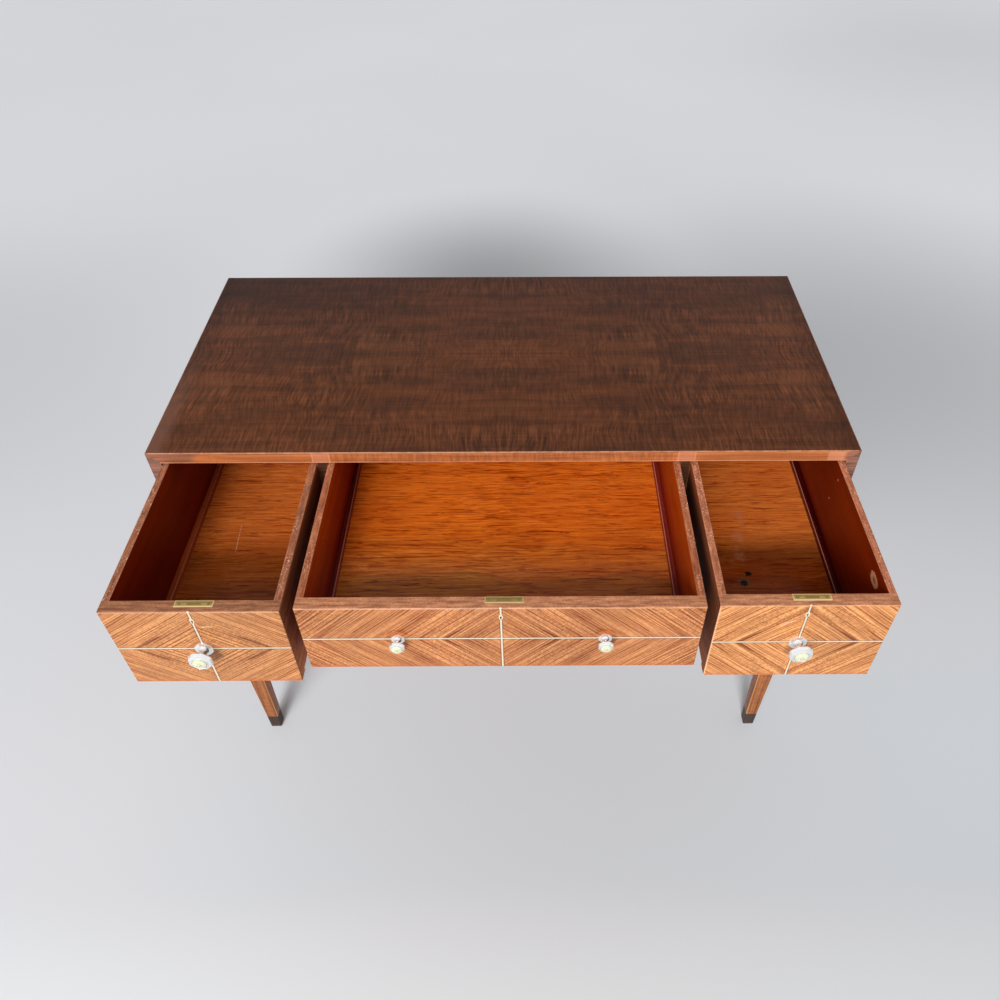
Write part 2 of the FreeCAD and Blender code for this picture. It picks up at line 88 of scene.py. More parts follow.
class DeskWoodSettings(bpy.types.PropertyGroup):
    top_light: colour_choice("Top, light", "Lighter figure of the top's veneer", (102, 57, 34))
    top_dark: colour_choice("Top, dark", "Darker figure of the top's veneer", (73, 42, 27))
    edging_light: colour_choice("Edging, light", "Cross-grained edging of the case, light", (206, 122, 72))
    edging_dark: colour_choice("Edging, dark", "Cross-grained edging of the case, dark", (150, 82, 46))
    lipping_light: colour_choice("Lipping, light", "Front edges of the sides, light", (158, 104, 82))
    lipping_dark: colour_choice("Lipping, dark", "Front edges of the sides, dark", (84, 54, 44))
    ribbon_light: colour_choice("Ribbon, light", "Light stripe of the drawer fronts", (238, 168, 104))
    ribbon_dark: colour_choice("Ribbon, dark", "Dark stripe of the drawer fronts", (172, 102, 54))
    rim_light: colour_choice("Drawer rim, light", "Top edges of the drawers, light", (220, 150, 108))
    rim_dark: colour_choice("Drawer rim, dark", "Top edges of the drawers, dark", (150, 92, 64))
    inside_light: colour_choice("Drawer inside, light", "Stained inner walls, light", (192, 70, 12))
    inside_dark: colour_choice("Drawer inside, dark", "Stained inner walls, dark", (140, 34, 5))
    outside_light: colour_choice("Drawer outside, light", "Outer walls, light", (170, 98, 60))
    outside_dark: colour_choice("Drawer outside, dark", "Outer walls, dark", (116, 62, 38))
    bottom_light: colour_choice("Drawer bottom, light", "Polished drawer bottoms, light", (250, 128, 36))
    bottom_dark: colour_choice("Drawer bottom, dark", "Polished drawer bottoms, dark", (184, 70, 10))
    leg_light: colour_choice("Leg, light", "Leg wood, light", (180, 110, 62))
    leg_dark: colour_choice("Leg, dark", "Leg wood, dark", (106, 60, 34))
    tip_colour: colour_choice("Leg tip", "Ebonised tips of the legs", (68, 50, 42))
    ribbon_angle: FloatProperty(name="Ribbon angle", description="Slope of the ribbons on the fronts",
                                subtype="ANGLE", default=math.radians(47))
    curl_spacing: FloatProperty(name="Curl spacing", description="Distance between the curls of the top",
                                unit="LENGTH", default=7.5 * MM)
    edge_softness: FloatProperty(name="Edge softness", description="Rounding of the board edges",
                                 unit="LENGTH", default=0.45 * MM)


class DeskMetalSettings(bpy.types.PropertyGroup):
    chrome: colour_choice("Chrome", "Plating of the knobs", (242, 241, 240))
    string: colour_choice("Stringing", "Metal lines in the drawer fronts", (220, 208, 186))
    brass: colour_choice("Lock brass", "Lock plates", (222, 184, 112))
    # The plate border colour is partly wear and partly a painted highlight
    border_wear_and_highlight: colour_choice("Plate border", "Rubbed borders of the lock plates", (255, 224, 160))
    bolt: colour_choice("Bolt brass", "Lock bolts and screws", (190, 156, 92))
    steel: colour_choice("Bolt steel", "Leg bolts", (128, 126, 122))
    disc: colour_choice("Knob disc", "Pale discs in the knobs", (214, 216, 184))


class DeskStudioSettings(bpy.types.PropertyGroup):
    floor: colour_choice("Floor", "Plain pale floor", (214, 215, 219))
    room_level: plain_number("Room light", "Level of the light from all round", 0.36)
    key_level: plain_number("Main light", "Strength of the main light from the front", 1.9)
    low_level: plain_number("Low light", "Strength of the low light that throws the long shadow", 1.9)
    lens: plain_number("Lens", "Focal length in millimetres", 30.17)
    camera_place: FloatVectorProperty(name="Camera place", description="Where the camera stands",
                                      subtype="TRANSLATION", unit="LENGTH",
                                      default=(0.0366, CASE_FRONT - 0.9523, CASE_HIGH.z + 0.812))
    camera_tilt: FloatProperty(name="Camera tilt", description="How far the camera looks down",
                               subtype="ANGLE", default=0.8106)


def woods():
    return bpy.context.scene.desk_woods


def metals():
    return bpy.context.scene.desk_metals


# Node trees


def single(value):
    """Whether a value is one number or mask, rather than a colour or a place."""
    return isinstance(value, (int, float)) or isinstance(value, Wire) and value.socket.type == "VALUE"


class Wire:
    """The value of a node's socket, which is added, multiplied and compared like a number."""

    def __init__(self, net, socket):
        self.net = net
        self.socket = socket

    def combine(self, operation, *values):
        """Values in a math node, or in a vector math node where this is a colour or a place."""
        maker = self.net.math if self.socket.type == "VALUE" else self.net.vector
        return maker(operation, *values)

    def __add__(self, other):
        return self.combine("ADD", self, other)

    def __sub__(self, other):
        return self.combine("SUBTRACT", self, other)

    def __rsub__(self, other):
        return self.combine("SUBTRACT", other, self)

    def __mul__(self, other):
        if self.socket.type != "VALUE" and single(other):
            return self.net.node("ShaderNodeVectorMath", {0: self, "Scale": other}, operation="SCALE")[0]
        return self.combine("MULTIPLY", self, other)

    def __truediv__(self, other):
        return self.combine("DIVIDE", self, other)

    def __rtruediv__(self, other):
        return self.combine("DIVIDE", other, self)

    def __abs__(self):
        return self.combine("ABSOLUTE", self)

    def __gt__(self, other):
        return self.combine("GREATER_THAN", self, other)

    def __lt__(self, other):
        return self.combine("LESS_THAN", self, other)

    def least(self, other):
        return self.combine("MINIMUM", self, other)

    def most(self, other):
        return self.combine("MAXIMUM", self, other)

    def parts(self):
        return self.net.node("ShaderNodeSeparateXYZ", [self])

    def along(self, order):
        """The same place with its axes in another order, so that the grain runs along the first."""
        parts = dict(zip("xyz", self.parts()))
        return self.net.join(*[parts[letter] for letter in order])

    def ramp(self, low, high, to_low=0.0, to_high=1.0, smooth=True):
        kind = "SMOOTHSTEP" if smooth else "LINEAR"
        feeds = (self, low, high, to_low, to_high)
        return self.net.node("ShaderNodeMapRange", feeds, clamp=True, interpolation_type=kind)[0]

    def noise(self, scale=1.0, detail=2.0, roughness=0.5, distortion=0.0):
        """Noise at this place, with one scale or one for each axis."""
        place, scale = (self, scale) if single(scale) else (self * scale, 1.0)
        feeds = {"Vector": place, "Scale": scale, "Detail": detail, "Roughness": roughness,
                 "Distortion": distortion}
        return self.net.node("ShaderNodeTexNoise", feeds)[0]

    def mixed(self, mask, other):
        return self.net.mix(mask, self, other)

    def painted(self, mask, share, *chart):
        """Lay a share of a paint over a colour where the mask is 1."""
        return self.mixed(mask * share, shade(*chart))

    def stained(self, mask, shares):
        """Multiply a colour's red, green and blue by their shares where the mask is 1."""
        return self.mixed(mask, self * shares)

    def darkened(self, mask, depth):
        """Multiply a colour down to a share of itself where the mask is 1."""
        return self * mask.ramp(0, 1, 1, depth, smooth=False)


class Net:
    """A node tree under way, with short words for the nodes that the desk's finishes need."""

    def __init__(self, tree):
        self.tree = tree

    def node(self, kind, feeds=(), **settings):
        """Make a node and give its outputs."""
        made = self.tree.nodes.new(kind)
        for name, value in settings.items():
            setattr(made, name, value)
        for key, value in (feeds.items() if isinstance(feeds, dict) else enumerate(feeds)):
            self.feed(made.inputs[key], value)
        return [Wire(self, socket) for socket in made.outputs]

    def named(self, kind, feeds=(), **settings):
        return {wire.socket.name: wire for wire in self.node(kind, feeds, **settings)}

    def feed(self, socket, value):
        if isinstance(value, Wire):
            self.tree.links.new(value.socket, socket)
        else:
            if socket.type == "RGBA" and len(value) == 3:
                value = (*value, 1)
            socket.default_value = value

    def math(self, operation, *values, clamp=False):
        return self.node("ShaderNodeMath", values, operation=operation, use_clamp=clamp)[0]

    def vector(self, operation, *values):
        made = self.named("ShaderNodeVectorMath", values, operation=operation)
        return made["Value" if operation in ("DOT_PRODUCT", "LENGTH", "DISTANCE") else "Vector"]

    def join(self, x=0.0, y=0.0, z=0.0):
        return self.node("ShaderNodeCombineXYZ", [x, y, z])[0]

    def mix(self, mask, first, second):
        return self.node("ShaderNodeMix", {0: mask, 6: first, 7: second}, data_type="RGBA")[2]

    def group(self, name, feeds):
        return self.named("ShaderNodeGroup", feeds, node_tree=bpy.data.node_groups[name])


class Effect(Net):
    """A shader group under way. An input is given by its kind, or by its default where it is a number."""

    def __init__(self, name, inputs, outputs):
        super().__init__(bpy.data.node_groups.new(name, "ShaderNodeTree"))
        interface = self.tree.interface
        for label, kind in inputs.items():
            if isinstance(kind, str):
                interface.new_socket(label, in_out="INPUT", socket_type="NodeSocket" + kind)
            else:
                socket = interface.new_socket(label, in_out="INPUT", socket_type="NodeSocketFloat")
                socket.default_value = kind
        for label, kind in outputs.items():
            interface.new_socket(label, in_out="OUTPUT", socket_type="NodeSocket" + kind)
        self.given = self.named("NodeGroupInput")
        self.target = self.tree.nodes.new("NodeGroupOutput").inputs

    def give(self, **values):
        for label, value in values.items():
            self.feed(self.target[label], value)


def build_grain_group():
    """Wood whose grain runs along X of the vector: stripes, fibres, dark streaks and pores."""
    net = Effect("Desk grain", {
        "Vector": "Vector", "Light": "Color", "Dark": "Color", "Stripe Width": 0.006, "Stripe Length": 0.6,
        "Stripe Share": 0.5, "Streaks": 0.4, "Waviness": 0.004, "Pores": 0.4, "Seed": 0.0,
    }, {"Color": "Color", "Height": "Float"})
    given = net.given
    seed = given["Seed"]
    place = given["Vector"] + net.join(seed * 0.37, seed * 0.91, seed * 0.53)
    sway = place.noise((5, 9, 9)) - 0.5
    ripple = place.noise((28, 60, 60), 1) - 0.5
    swing = (sway + ripple * 0.12) * given["Waviness"]
    x, y, z = (place + net.join(0.0, swing, swing)).parts()
    across = 1.0 / given["Stripe Width"]
    length = 1.0 / given["Stripe Length"]

    def streaky(along, crosswise, detail):
        return net.join(x * along, y * crosswise, z * crosswise).noise(1.0, detail, 0.55)

    stripes = streaky(length, across, 3).ramp(0.3, 0.7)
    fibres = streaky(7.0, 380.0, 3).ramp(0.32, 0.68)
    streaks = streaky(length * 2.0, across * 1.9, 2).ramp(0.6, 0.74)
    pores = streaky(55.0, 1300.0, 1).ramp(0.6, 0.75) * given["Pores"]
    share = given["Stripe Share"]
    tone = stripes * share + fibres * (1.0 - share)
    colour = given["Dark"].mixed(tone, given["Light"]).darkened(streaks * given["Streaks"], 0.45)
    net.give(Color=colour.darkened(pores, 0.5), Height=fibres * 0.5 - pores)


def build_curl_group():
    """Short ripples across grain that runs along X of the vector, in patches, as masks."""
    net = Effect("Desk curl", {"Vector": "Vector", "Spacing": 0.0075, "Length": 0.05, "Seed": 0.0},
                 {"Ripple": "Float", "Patch": "Float"})
    given = net.given
    seed, length = given["Seed"], given["Length"]
    place = given["Vector"] + net.join(seed, seed * 2.3, seed)
    lean = (place.noise((3, 7, 7), 1) - 0.5) * 0.05
    x, y, z = (place + net.join(lean)).parts()
    ripple = net.join(x / given["Spacing"], y / length, z / length).noise(1.0, 2, 0.6)
    net.give(Ripple=ripple.ramp(0.32, 0.68), Patch=place.noise((4.5, 11, 11), 2, 0.6).ramp(0.4, 0.66))


def build_diamond_group():
    """Turns a drawer front into four mirrored quarters, with the grain on the slope."""
    net = Effect("Desk diamond match", {"Vector": "Vector", "Centre": "Vector", "Slope": 0.8, "Slip": 0.0},
                 {"Vector": "Vector"})
    given = net.given
    u, depth, w = (given["Vector"] - given["Centre"]).parts()
    quarter = (u > 0.0) + (w > 0.0) * 2.0
    a = abs(u) + quarter * given["Slip"]
    b = abs(w)
    cosine, sine = net.math("COSINE", given["Slope"]), net.math("SINE", given["Slope"])
    net.give(Vector=net.join(a * sine - b * cosine, a * cosine + b * sine, depth))


def build_edge_wear_and_highlight_group():
    """How close a point of a box-shaped piece lies to the box's edges, broken up by handling."""
    net = Effect("Desk edge wear and highlight", {"Vector": "Vector", "Low": "Vector", "High": "Vector", "Width": 0.0015,
                                    "Breakup": 0.5}, {"Mask": "Float"})
    given = net.given
    vector, breakup = given["Vector"], given["Breakup"]
    low, high = (vector - given["Low"]).parts(), (given["High"] - vector).parts()
    x, y, z = [near.least(far) for near, far in zip(low, high)]
    second = x.least(y).most(x.most(y).least(z))
    broken = vector.noise(70.0, 4, 0.65).ramp(0.35, 0.62) * breakup + (1.0 - breakup)
    net.give(Mask=second.ramp(0.0, given["Width"], 1.0, 0.0) * broken)


def build_mark_group():
    """A soft mark along the straight line from one point to another, as a mask."""
    net = Effect("Desk mark", {"Vector": "Vector", "Start": "Vector", "End": "Vector", "Width": 0.001,
                               "Breakup": 0.3}, {"Mask": "Float"})
    given = net.given
    vector, start, width = given["Vector"], given["Start"], given["Width"]
    reach, offset = given["End"] - start, vector - start
    done = net.vector("DOT_PRODUCT", offset, reach)
    share = net.math("DIVIDE", done, net.vector("DOT_PRODUCT", reach, reach), clamp=True)
    ragged = (vector.noise(600.0, 3) - 0.5) * width
    gap = net.vector("DISTANCE", offset, reach * share) + ragged * given["Breakup"]
    net.give(Mask=gap.ramp(0.0, width, 1.0, 0.0))


def build_handling_group():
    """Fine scratches, specks and cloudy polish from years of use, as masks."""
    net = Effect("Desk handling", {"Vector": "Vector", "Seed": 0.0},
                 {"Scratches": "Float", "Specks": "Float", "Clouds": "Float"})
    seed = net.given["Seed"]
    place = net.given["Vector"] + net.join(seed, seed, 0.0)
    x, y, z = place.parts()
    one = net.join((x + y * 0.4) * 14.0, (y - x * 0.3) * 700.0, z * 240.0).noise(1.0, 1)
    two = net.join((x - y * 0.7) * 560.0, (y + x * 0.2) * 18.0, z * 40.0).noise(1.0, 1)
    scratches = one.ramp(0.72, 0.8).most(two.ramp(0.73, 0.8))
    specks = place.noise(420.0, 2, 0.7).ramp(0.68, 0.76)
    net.give(Scratches=scratches * place.noise(9.0, 2).ramp(0.45, 0.65),
             Specks=specks * place.noise(23.0, 1).ramp(0.5, 0.68),
             Clouds=place.noise(6.0, 4, 0.6))


def build_metal_group():
    """Hairlines and tarnish on small metal pieces, as masks."""
    net = Effect("Desk metal marks", {"Vector": "Vector", "Seed": 0.0},
                 {"Hairlines": "Float", "Tarnish": "Float"})
    seed = net.given["Seed"]
    place = net.given["Vector"] + net.join(seed, 0.0, seed)
    net.give(Hairlines=place.noise((350, 2600, 1900)).ramp(0.5, 0.75),
             Tarnish=place.noise(210.0, 4, 0.7).ramp(0.5, 0.75))


# Finishes

# The axis and sign of each way that a surface may look
SIDES = {"left": (0, -1.0), "right": (0, 1.0), "front": (1, -1.0), "back": (1, 1.0), "down": (2, -1.0),
         "up": (2, 1.0)}


class Finish(Net):
    """A material under way, with the places and directions of the piece that it covers."""

    def __init__(self, name):
        self.material = bpy.data.materials.new(name)
        self.material.use_nodes = True
        super().__init__(self.material.node_tree)
        place = self.named("ShaderNodeTexCoord")
        self.spot, self.normal = place["Object"], place["Normal"]

    def looks(self, side):
        """A mask of where the surface looks out to a side."""
        axis, sign = SIDES[side]
        return self.normal.parts()[axis] * sign > 0.8

    def done(self, colour, roughness, height=None, relief=0.3, depth=0.1 * MM, specular=0.5, **others):
        """Feed the shader; others are further sockets of it, with _ for each space in their names."""
        feeds = {"Base Color": colour, "Roughness": roughness, "Specular IOR Level": specular}
        if height:
            feeds["Normal"] = self.node("ShaderNodeBump", {"Strength": relief, "Distance": depth,
                                                           "Height": height})[0]
        feeds.update({name.replace("_", " ").title(): value for name, value in others.items()})
        for name, value in feeds.items():
            self.feed(self.tree.nodes["Principled BSDF"].inputs[name], value)
        return self.material


def wood_pair(wood):
    """A wood's light and dark colour from the settings, by its name there."""
    return getattr(woods(), wood + "_light"), getattr(woods(), wood + "_dark")


def grain(vector, wood, **values):
    """Grain along the vector's first axis, in a wood of the settings or in two colours."""
    light, dark = wood_pair(wood) if isinstance(wood, str) else wood
    feeds = {"Vector": vector, "Light": light, "Dark": dark}
    feeds.update({key.replace("_", " ").title(): value for key, value in values.items()})
    return vector.net.group("Desk grain", feeds)


def curl(vector, spacing, length, seed):
    feeds = {"Vector": vector, "Spacing": spacing, "Length": length, "Seed": seed}
    return vector.net.group("Desk curl", feeds)


def curled(colour, ripples, least, reach):
    """Curl that lightens and darkens a colour, most of all in its patches."""
    share = ripples["Patch"].ramp(0, 1, least, 1) * reach
    return colour * (1.0 - (ripples["Ripple"] - 0.5) * share)


def handling(spot, seed):
    return spot.net.group("Desk handling", {"Vector": spot, "Seed": seed})


def metal_marks(spot, seed):
    return spot.net.group("Desk metal marks", {"Vector": spot, "Seed": seed})


def edge_wear_and_highlight(spot, node, width, breakup=0.6):
    low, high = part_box(node)
    return spot.net.group("Desk edge wear and highlight", {"Vector": spot, "Low": low, "High": high, "Width": width,
                                             "Breakup": breakup})["Mask"]


def mark(spot, start, end, width, breakup=0.6):
    """A mark between two points given in millimetres."""
    return spot.net.group("Desk mark", {"Vector": spot, "Start": [value * MM for value in start],
                                        "End": [value * MM for value in end], "Width": width * MM,
                                        "Breakup": breakup})["Mask"]


def polish(use, low, high):
    """Roughness between two levels, in clouds."""
    return use["Clouds"].ramp(0.3, 0.7, low, high)


def top_finish():
    """Dark curly veneer, matched in four quarters about its two joints, with edging along the front."""
    wood = woods()
    finish = Finish("Top veneer")
    spot = finish.spot
    x, y, z = spot.parts()
    centre = middle("desk_top")
    out = abs(x)
    back = abs(y - centre.y)
    matched = finish.join(out, back, z)
    base = grain(matched, "top", stripe_width=0.022, stripe_length=0.22, stripe_share=0.72, streaks=0.14,
                 waviness=0.03, pores=0.15, seed=3.0)
    colour = curled(base["Color"], curl(matched, 0.0034, 0.034, 1.0), 0.5, 0.66)
    colour = curled(colour, curl(matched, 0.006, 0.06, 6.0), 0.3, 0.7)
    haze = matched.noise((6, 19, 1), 4, 0.6)
    colour = colour.painted(haze.ramp(0.52, 0.7), 0.3, 52, 36, 28)
    colour = colour.painted(haze.ramp(0.46, 0.32), 0.24, 116, 72, 44)
    colour = colour.darkened(out.least(back).ramp(0.0012, 0.0004), 0.75)
    colour = colour.darkened(out.ramp(CASE_HIGH.x - 0.04, CASE_HIGH.x), 0.72)
    # Painted sheen: a paler, greyer strip along the left edge towards the front
    painted_sheen = x.ramp(CASE_LOW.x + 0.035, CASE_LOW.x + 0.01) * y.ramp(centre.y + 0.05, CASE_FRONT + 0.05)
    colour = colour.painted(painted_sheen, 0.35, 140, 100, 86)
    colour = colour.mixed(finish.looks("front"), edging_colour(spot, out))
    under = grain(spot, "outside", seed=2.0)
    colour = colour.mixed(finish.looks("down"), under["Color"])
    up = finish.looks("up")
    # Painted shade: the upper face darker towards the back, more so on the left; painted light: the front
    # left part lighter
    rear = y.ramp(centre.y, CASE_HIGH.y) * up
    colour = colour.stained(rear, (0.66, 0.64, 0.68))
    colour = colour.stained(rear * x.ramp(-0.12, CASE_LOW.x + 0.1), (0.66, 0.68, 0.74))
    fore_left = y.ramp(centre.y, CASE_FRONT + 0.1) * x.ramp(0.0, -0.35)
    colour = colour.stained(fore_left * up, (1.14, 1.12, 1.04))
    # Pale arrises: partly wear, partly a painted highlight where the edges catch the light
    share = out.ramp(CASE_HIGH.x - 0.006, CASE_HIGH.x - 0.003, 0.75, 0.3)
    colour = colour.painted(edge_wear_and_highlight(spot, "desk_top", 0.0022, 0.45), share, 226, 162, 124)
    use = handling(spot, 4.0)
    colour = colour.mixed(use["Scratches"] * 0.12, wood.edging_light)
    rough = use["Clouds"] * 0.16 + use["Scratches"] * 0.15
    return finish.done(colour, rough + 0.24, base["Height"], specular=0.15)


def edging_colour(spot, out):
    """The top's front edge: plain over the side bays, curly over the middle, patched at the dividers."""
    band = grain(spot, "edging", stripe_width=0.006, stripe_length=0.2, stripe_share=0.5, streaks=0.45,
                 waviness=0.004, pores=0.3, seed=8.0)
    ripples = curl(spot.along("xzy"), 0.004, 0.03, 5.0)
    low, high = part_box("divider_right")
    colour = band["Color"].darkened(ripples["Ripple"] * out.ramp(low.x - 0.02, high.x, 0.85, 0.2), 0.66)
    across = abs(out - (low.x + high.x) / 2)
    half = (high.x - low.x) / 2 + 0.005
    colour = colour.painted(across.ramp(half + 0.001, half), 0.45, 206, 134, 104)
    colour = colour.painted(abs(across - half).ramp(0.0014, 0.0005), 0.25, 232, 176, 146)
    x, y, z = spot.parts()
    edge = CASE_LOW.x - 0.8 * CASE_HIGH.z
    left_end = (x - z * 0.8).ramp(edge + 0.085, edge + 0.07)
    colour = colour.mixed(left_end * 0.75, lipping(spot, 8.0))
    colour = colour.painted(x.ramp(CASE_HIGH.x - 0.05, CASE_HIGH.x - 0.045), 0.4, 222, 156, 122)
    right_end = x.ramp(CASE_HIGH.x - 0.026, CASE_HIGH.x - 0.018)
    return colour.mixed(right_end * 0.85, lipping(spot, 8.0))


def lipping(spot, seed):
    """Grey-brown edging of the sides, with thin dark lines from side to side."""
    return grain(spot, "lipping", stripe_width=0.0016, stripe_length=0.05, stripe_share=0.6, streaks=0.5,
                 waviness=0.002, pores=0.4, seed=seed)["Color"]


def case_finish(name, node, order, face, seed, edge=None):
    """Boards of the case, of one wood on their faces and another, or a lipping, on their front edge."""
    wood = woods()
    finish = Finish(name)
    spot = finish.spot
    lengthwise = spot.along(order)
    base = grain(lengthwise, face, stripe_width=0.012, stripe_share=0.55, streaks=0.35, waviness=0.012,
                 pores=0.4, seed=seed)
    ripples = curl(lengthwise, wood.curl_spacing, 0.05, seed)
    colour = base["Color"].darkened(ripples["Ripple"] * ripples["Patch"], 0.72)
    if edge:
        lip = grain(spot, edge, stripe_width=0.004, stripe_share=0.5, streaks=0.5, pores=0.4,
                    seed=seed + 1)["Color"]
    else:
        lip = lipping(spot, seed + 1)
    colour = colour.mixed(finish.looks("front"), lip)
    # Pale arrises: partly wear, partly a painted highlight where the edges catch the light
    colour = colour.mixed(edge_wear_and_highlight(spot, node, 0.0014) * (0.55 if edge else 0.3), wood.edging_light)
    use = handling(spot, seed)
    colour = colour.mixed(use["Scratches"] * 0.12, wood.edging_light)
    return finish.done(colour, polish(use, 0.3, 0.46), base["Height"], 0.4, specular=0.4)


def leg_finish(node, seed):
    """Leg wood with upright grain and a faint curl, and arrises made paler by a painted highlight."""
    wood = woods()
    finish = Finish("Leg wood " + node)
    upright = finish.spot.along("zxy")
    base = grain(upright, "leg", stripe_width=0.006, stripe_share=0.55, streaks=0.35, waviness=0.006,
                 pores=0.45, seed=seed)
    colour = base["Color"].darkened(curl(upright, 0.0045, 0.02, seed)["Ripple"], 0.74)
    x, y = finish.normal.parts()[:2]
    # Painted highlight: the arrises, where the faces meet, paler
    arris_highlight = abs(x).most(abs(y)).ramp(0.94, 0.8)
    colour = colour.mixed(arris_highlight * 0.5, wood.ribbon_light)
    use = handling(finish.spot, seed)
    colour = colour.darkened(use["Specks"], 0.6)
    return finish.done(colour, polish(use, 0.32, 0.48), base["Height"], 0.4, specular=0.2)


def tip_finish():
    """Ebonised wood, scuffed to grey near the floor."""
    finish = Finish("Ebonised tip")
    spot = finish.spot
    tip = woods().tip_colour
    base = grain(spot.along("zxy"), (tip, [value * 0.5 for value in tip]), stripe_width=0.003, streaks=0.2,
                 pores=0.5, seed=5.0)
    use = handling(spot, 2.0)
    scuffed = spot.parts()[2].ramp(0.014, 0.0) * spot.noise(160.0, 3).ramp(0.45, 0.6)
    colour = base["Color"].painted(scuffed, 0.5, 120, 100, 84).mixed(use["Specks"], shade(150, 138, 120))
    return finish.done(colour, polish(use, 0.42, 0.6), base["Height"], 0.5, specular=0.3)


def by_drawer(*values):
    return dict(zip(DRAWERS, values))


# How much flatter the ribbons lie on each drawer than on the middle one
RIBBON_TURN = by_drawer(math.radians(8), 0.0, math.radians(3))

# Share of the light that each drawer's veneer, inner walls, rims and lock plate give back; the inner walls'
# shares also hold painted light and shade, which differ between a drawer's left and right walls
FRONT_TINT = by_drawer((0.8, 0.82, 0.9), (0.77, 0.74, 0.82), (0.94, 0.98, 1.04))
LEFT_WALL_TINT_AND_SHADING = by_drawer((0.64, 0.4, 0.6), (1.0, 0.85, 0.6), (0.6, 0.4, 0.5))
RIGHT_WALL_TINT_AND_SHADING = by_drawer((0.6, 0.5, 0.6), (1.25, 1.8, 0.9), (0.52, 0.36, 0.3))
RIM_TINT = by_drawer(0.75, 1.03, 1.03)
RIM_STAIN = by_drawer((0.96, 0.85, 0.87), (0.8, 0.62, 0.58), (0.94, 0.8, 0.82))
LOCK_TINT = by_drawer(0.94, 0.76, 0.98)

# Painted shade of the walls' lower half, and height above the slips of the line at their foot
LOWER_WALL_SHADE = by_drawer((0.75, 0.5, 0.5), (0.6, 0.26, 0.45), (0.75, 0.5, 0.5))
FOOT_HEIGHT = by_drawer(0.003, 0.005, 0.0085)

# Painted shade: share of the light left on the outer walls below their upper edge, deep in the gaps between
# the drawers
OUTSIDE_SHADE = by_drawer((0.6, 0.48, 0.42), (0.5, 0.45, 0.4), (0.22, 0.14, 0.12))

# How much of that painted shade reaches the front corner, and how much painted light makes the corner's
# lower half paler
CORNER_SHADE = by_drawer(0.1, 0.1, 0.5)
CORNER_LIGHT = by_drawer((2.0, 2.2, 2.0), (1.2, 1.1, 1.0), (1.5, 1.5, 1.45))

# Painted light and shade of each drawer's bottom: its level near the front, half way and at the back
BOTTOM_LIGHT_AND_SHADE = by_drawer((1.0, 0.46, 0.97), (1.05, 0.86, 1.06), (1.0, 0.29, 1.02))
BOTTOM_STAIN = by_drawer((0.98, 1.06, 1.9), (1.0, 1.0, 0.9), (0.98, 1.1, 1.9))

# Painted sheen and shade over the bottoms' front half, painted shade on the strip next to the front, and the
# painted light that makes them paler further back
BOTTOM_SHEEN_AND_SHADE = by_drawer((0.88, 1.0, 1.0), (0.9, 1.22, 2.5), (0.9, 0.75, 0.6))
BOTTOM_SHADE = by_drawer((0.8, 0.8, 0.74), (0.78, 0.92, 0.8), (0.8, 0.8, 0.74))
BOTTOM_LIT_BACK = by_drawer((208, 128, 62), (218, 118, 40), (208, 128, 62))

# Light and dark stain of each drawer's slips
SLIP_STAIN = by_drawer(((212, 104, 46), (146, 64, 24)), ((146, 48, 32), (92, 22, 14)),
                       ((84, 12, 8), (44, 5, 4)))

# Colour of the thin edge of each front's veneer, seen from the side
VENEER_EDGE = by_drawer((176, 118, 78), (196, 132, 92), (255, 206, 150))

# Scratches on the fronts, as start, end, width and strength, in millimetres
FRONT_MARKS = by_drawer(
    [((-388, -382.8, 714), (-374.9, -382.8, 714), 1.0, 0.8)],
    [],
    [((368.5, -376.8, 702), (376, -376.8, 709.6), 0.9, 0.7),
     ((376, -376.8, 709.6), (385, -376.8, 713), 0.9, 0.7)])

# Distance between the dark lines of the ribbon veneer
LINE_SPACING = 4.6 * MM

# Distances of the middle drawer's filled holes from its middle, and how far they lie above it
FILLED_HOLES = (-0.138, 0.138)
HOLE_RISE = 0.004


def broken_lines(turned):
    """Gaps that break a dark line of the ribbon veneer."""
    return turned.noise((22, 300, 1)).ramp(0.3, 0.56)


def dark_lines(turned, colour, seed):
    """Curl, and dark lines in bundles with plain wood between, along the ribbons of a front."""
    for spacing, length, reach in ((0.0016, 0.004, 0.45), (0.0035, 0.008, 0.3)):
        colour = curled(colour, curl(turned, spacing, length, seed), 0.4, reach)
    colour = colour.darkened(turned.noise((2, 30, 1)).ramp(0.5, 0.68), 0.86)
    turns = turned.parts()[1] * (2 * math.pi / LINE_SPACING) + turned.noise((3, 55, 1), 1) * 24.0
    lines = turned.net.math("SINE", turns).ramp(0.3, 0.8) * turned.noise((3, 36, 1)).ramp(0.4, 0.52)
    colour = colour.stained(lines * broken_lines(turned), (0.5, 0.34, 0.24))
    colour = colour.stained(turned.noise((7, 620, 1), 1).ramp(0.56, 0.66), (0.74, 0.6, 0.5))
    bold = turned.noise((5, 150, 1), 1, distortion=0.4)
    return colour.stained(bold.ramp(0.66, 0.71), (0.52, 0.34, 0.24))


def front_ends(name, spot, seed):
    """End grain at a front's sides, with painted shade and a painted light lower half, behind the thin edge
    of its veneer.
    """
    low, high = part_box(name + "_drawer_front")
    end = grain(spot.along("yxz"), "outside", stripe_width=0.003, pores=0.6, seed=seed)["Color"]
    # Painted shade as on the outer walls, then painted light on the lower half
    end = end.stained(CORNER_SHADE[name], OUTSIDE_SHADE[name])
    height = (spot - middle(name + "_drawer_front")).parts()[2]
    reach = (high.z - low.z) / 2
    end = end.stained(height.ramp(0.5 * reach, -0.8 * reach), CORNER_LIGHT[name])
    behind = spot.parts()[1] - low.y
    end = end.mixed(behind.ramp(0.0022, 0.0016), shade(*VENEER_EDGE[name]))
    return end.darkened(behind.ramp(0.0016, 0.0022) * behind.ramp(0.0036, 0.0028), 0.4)


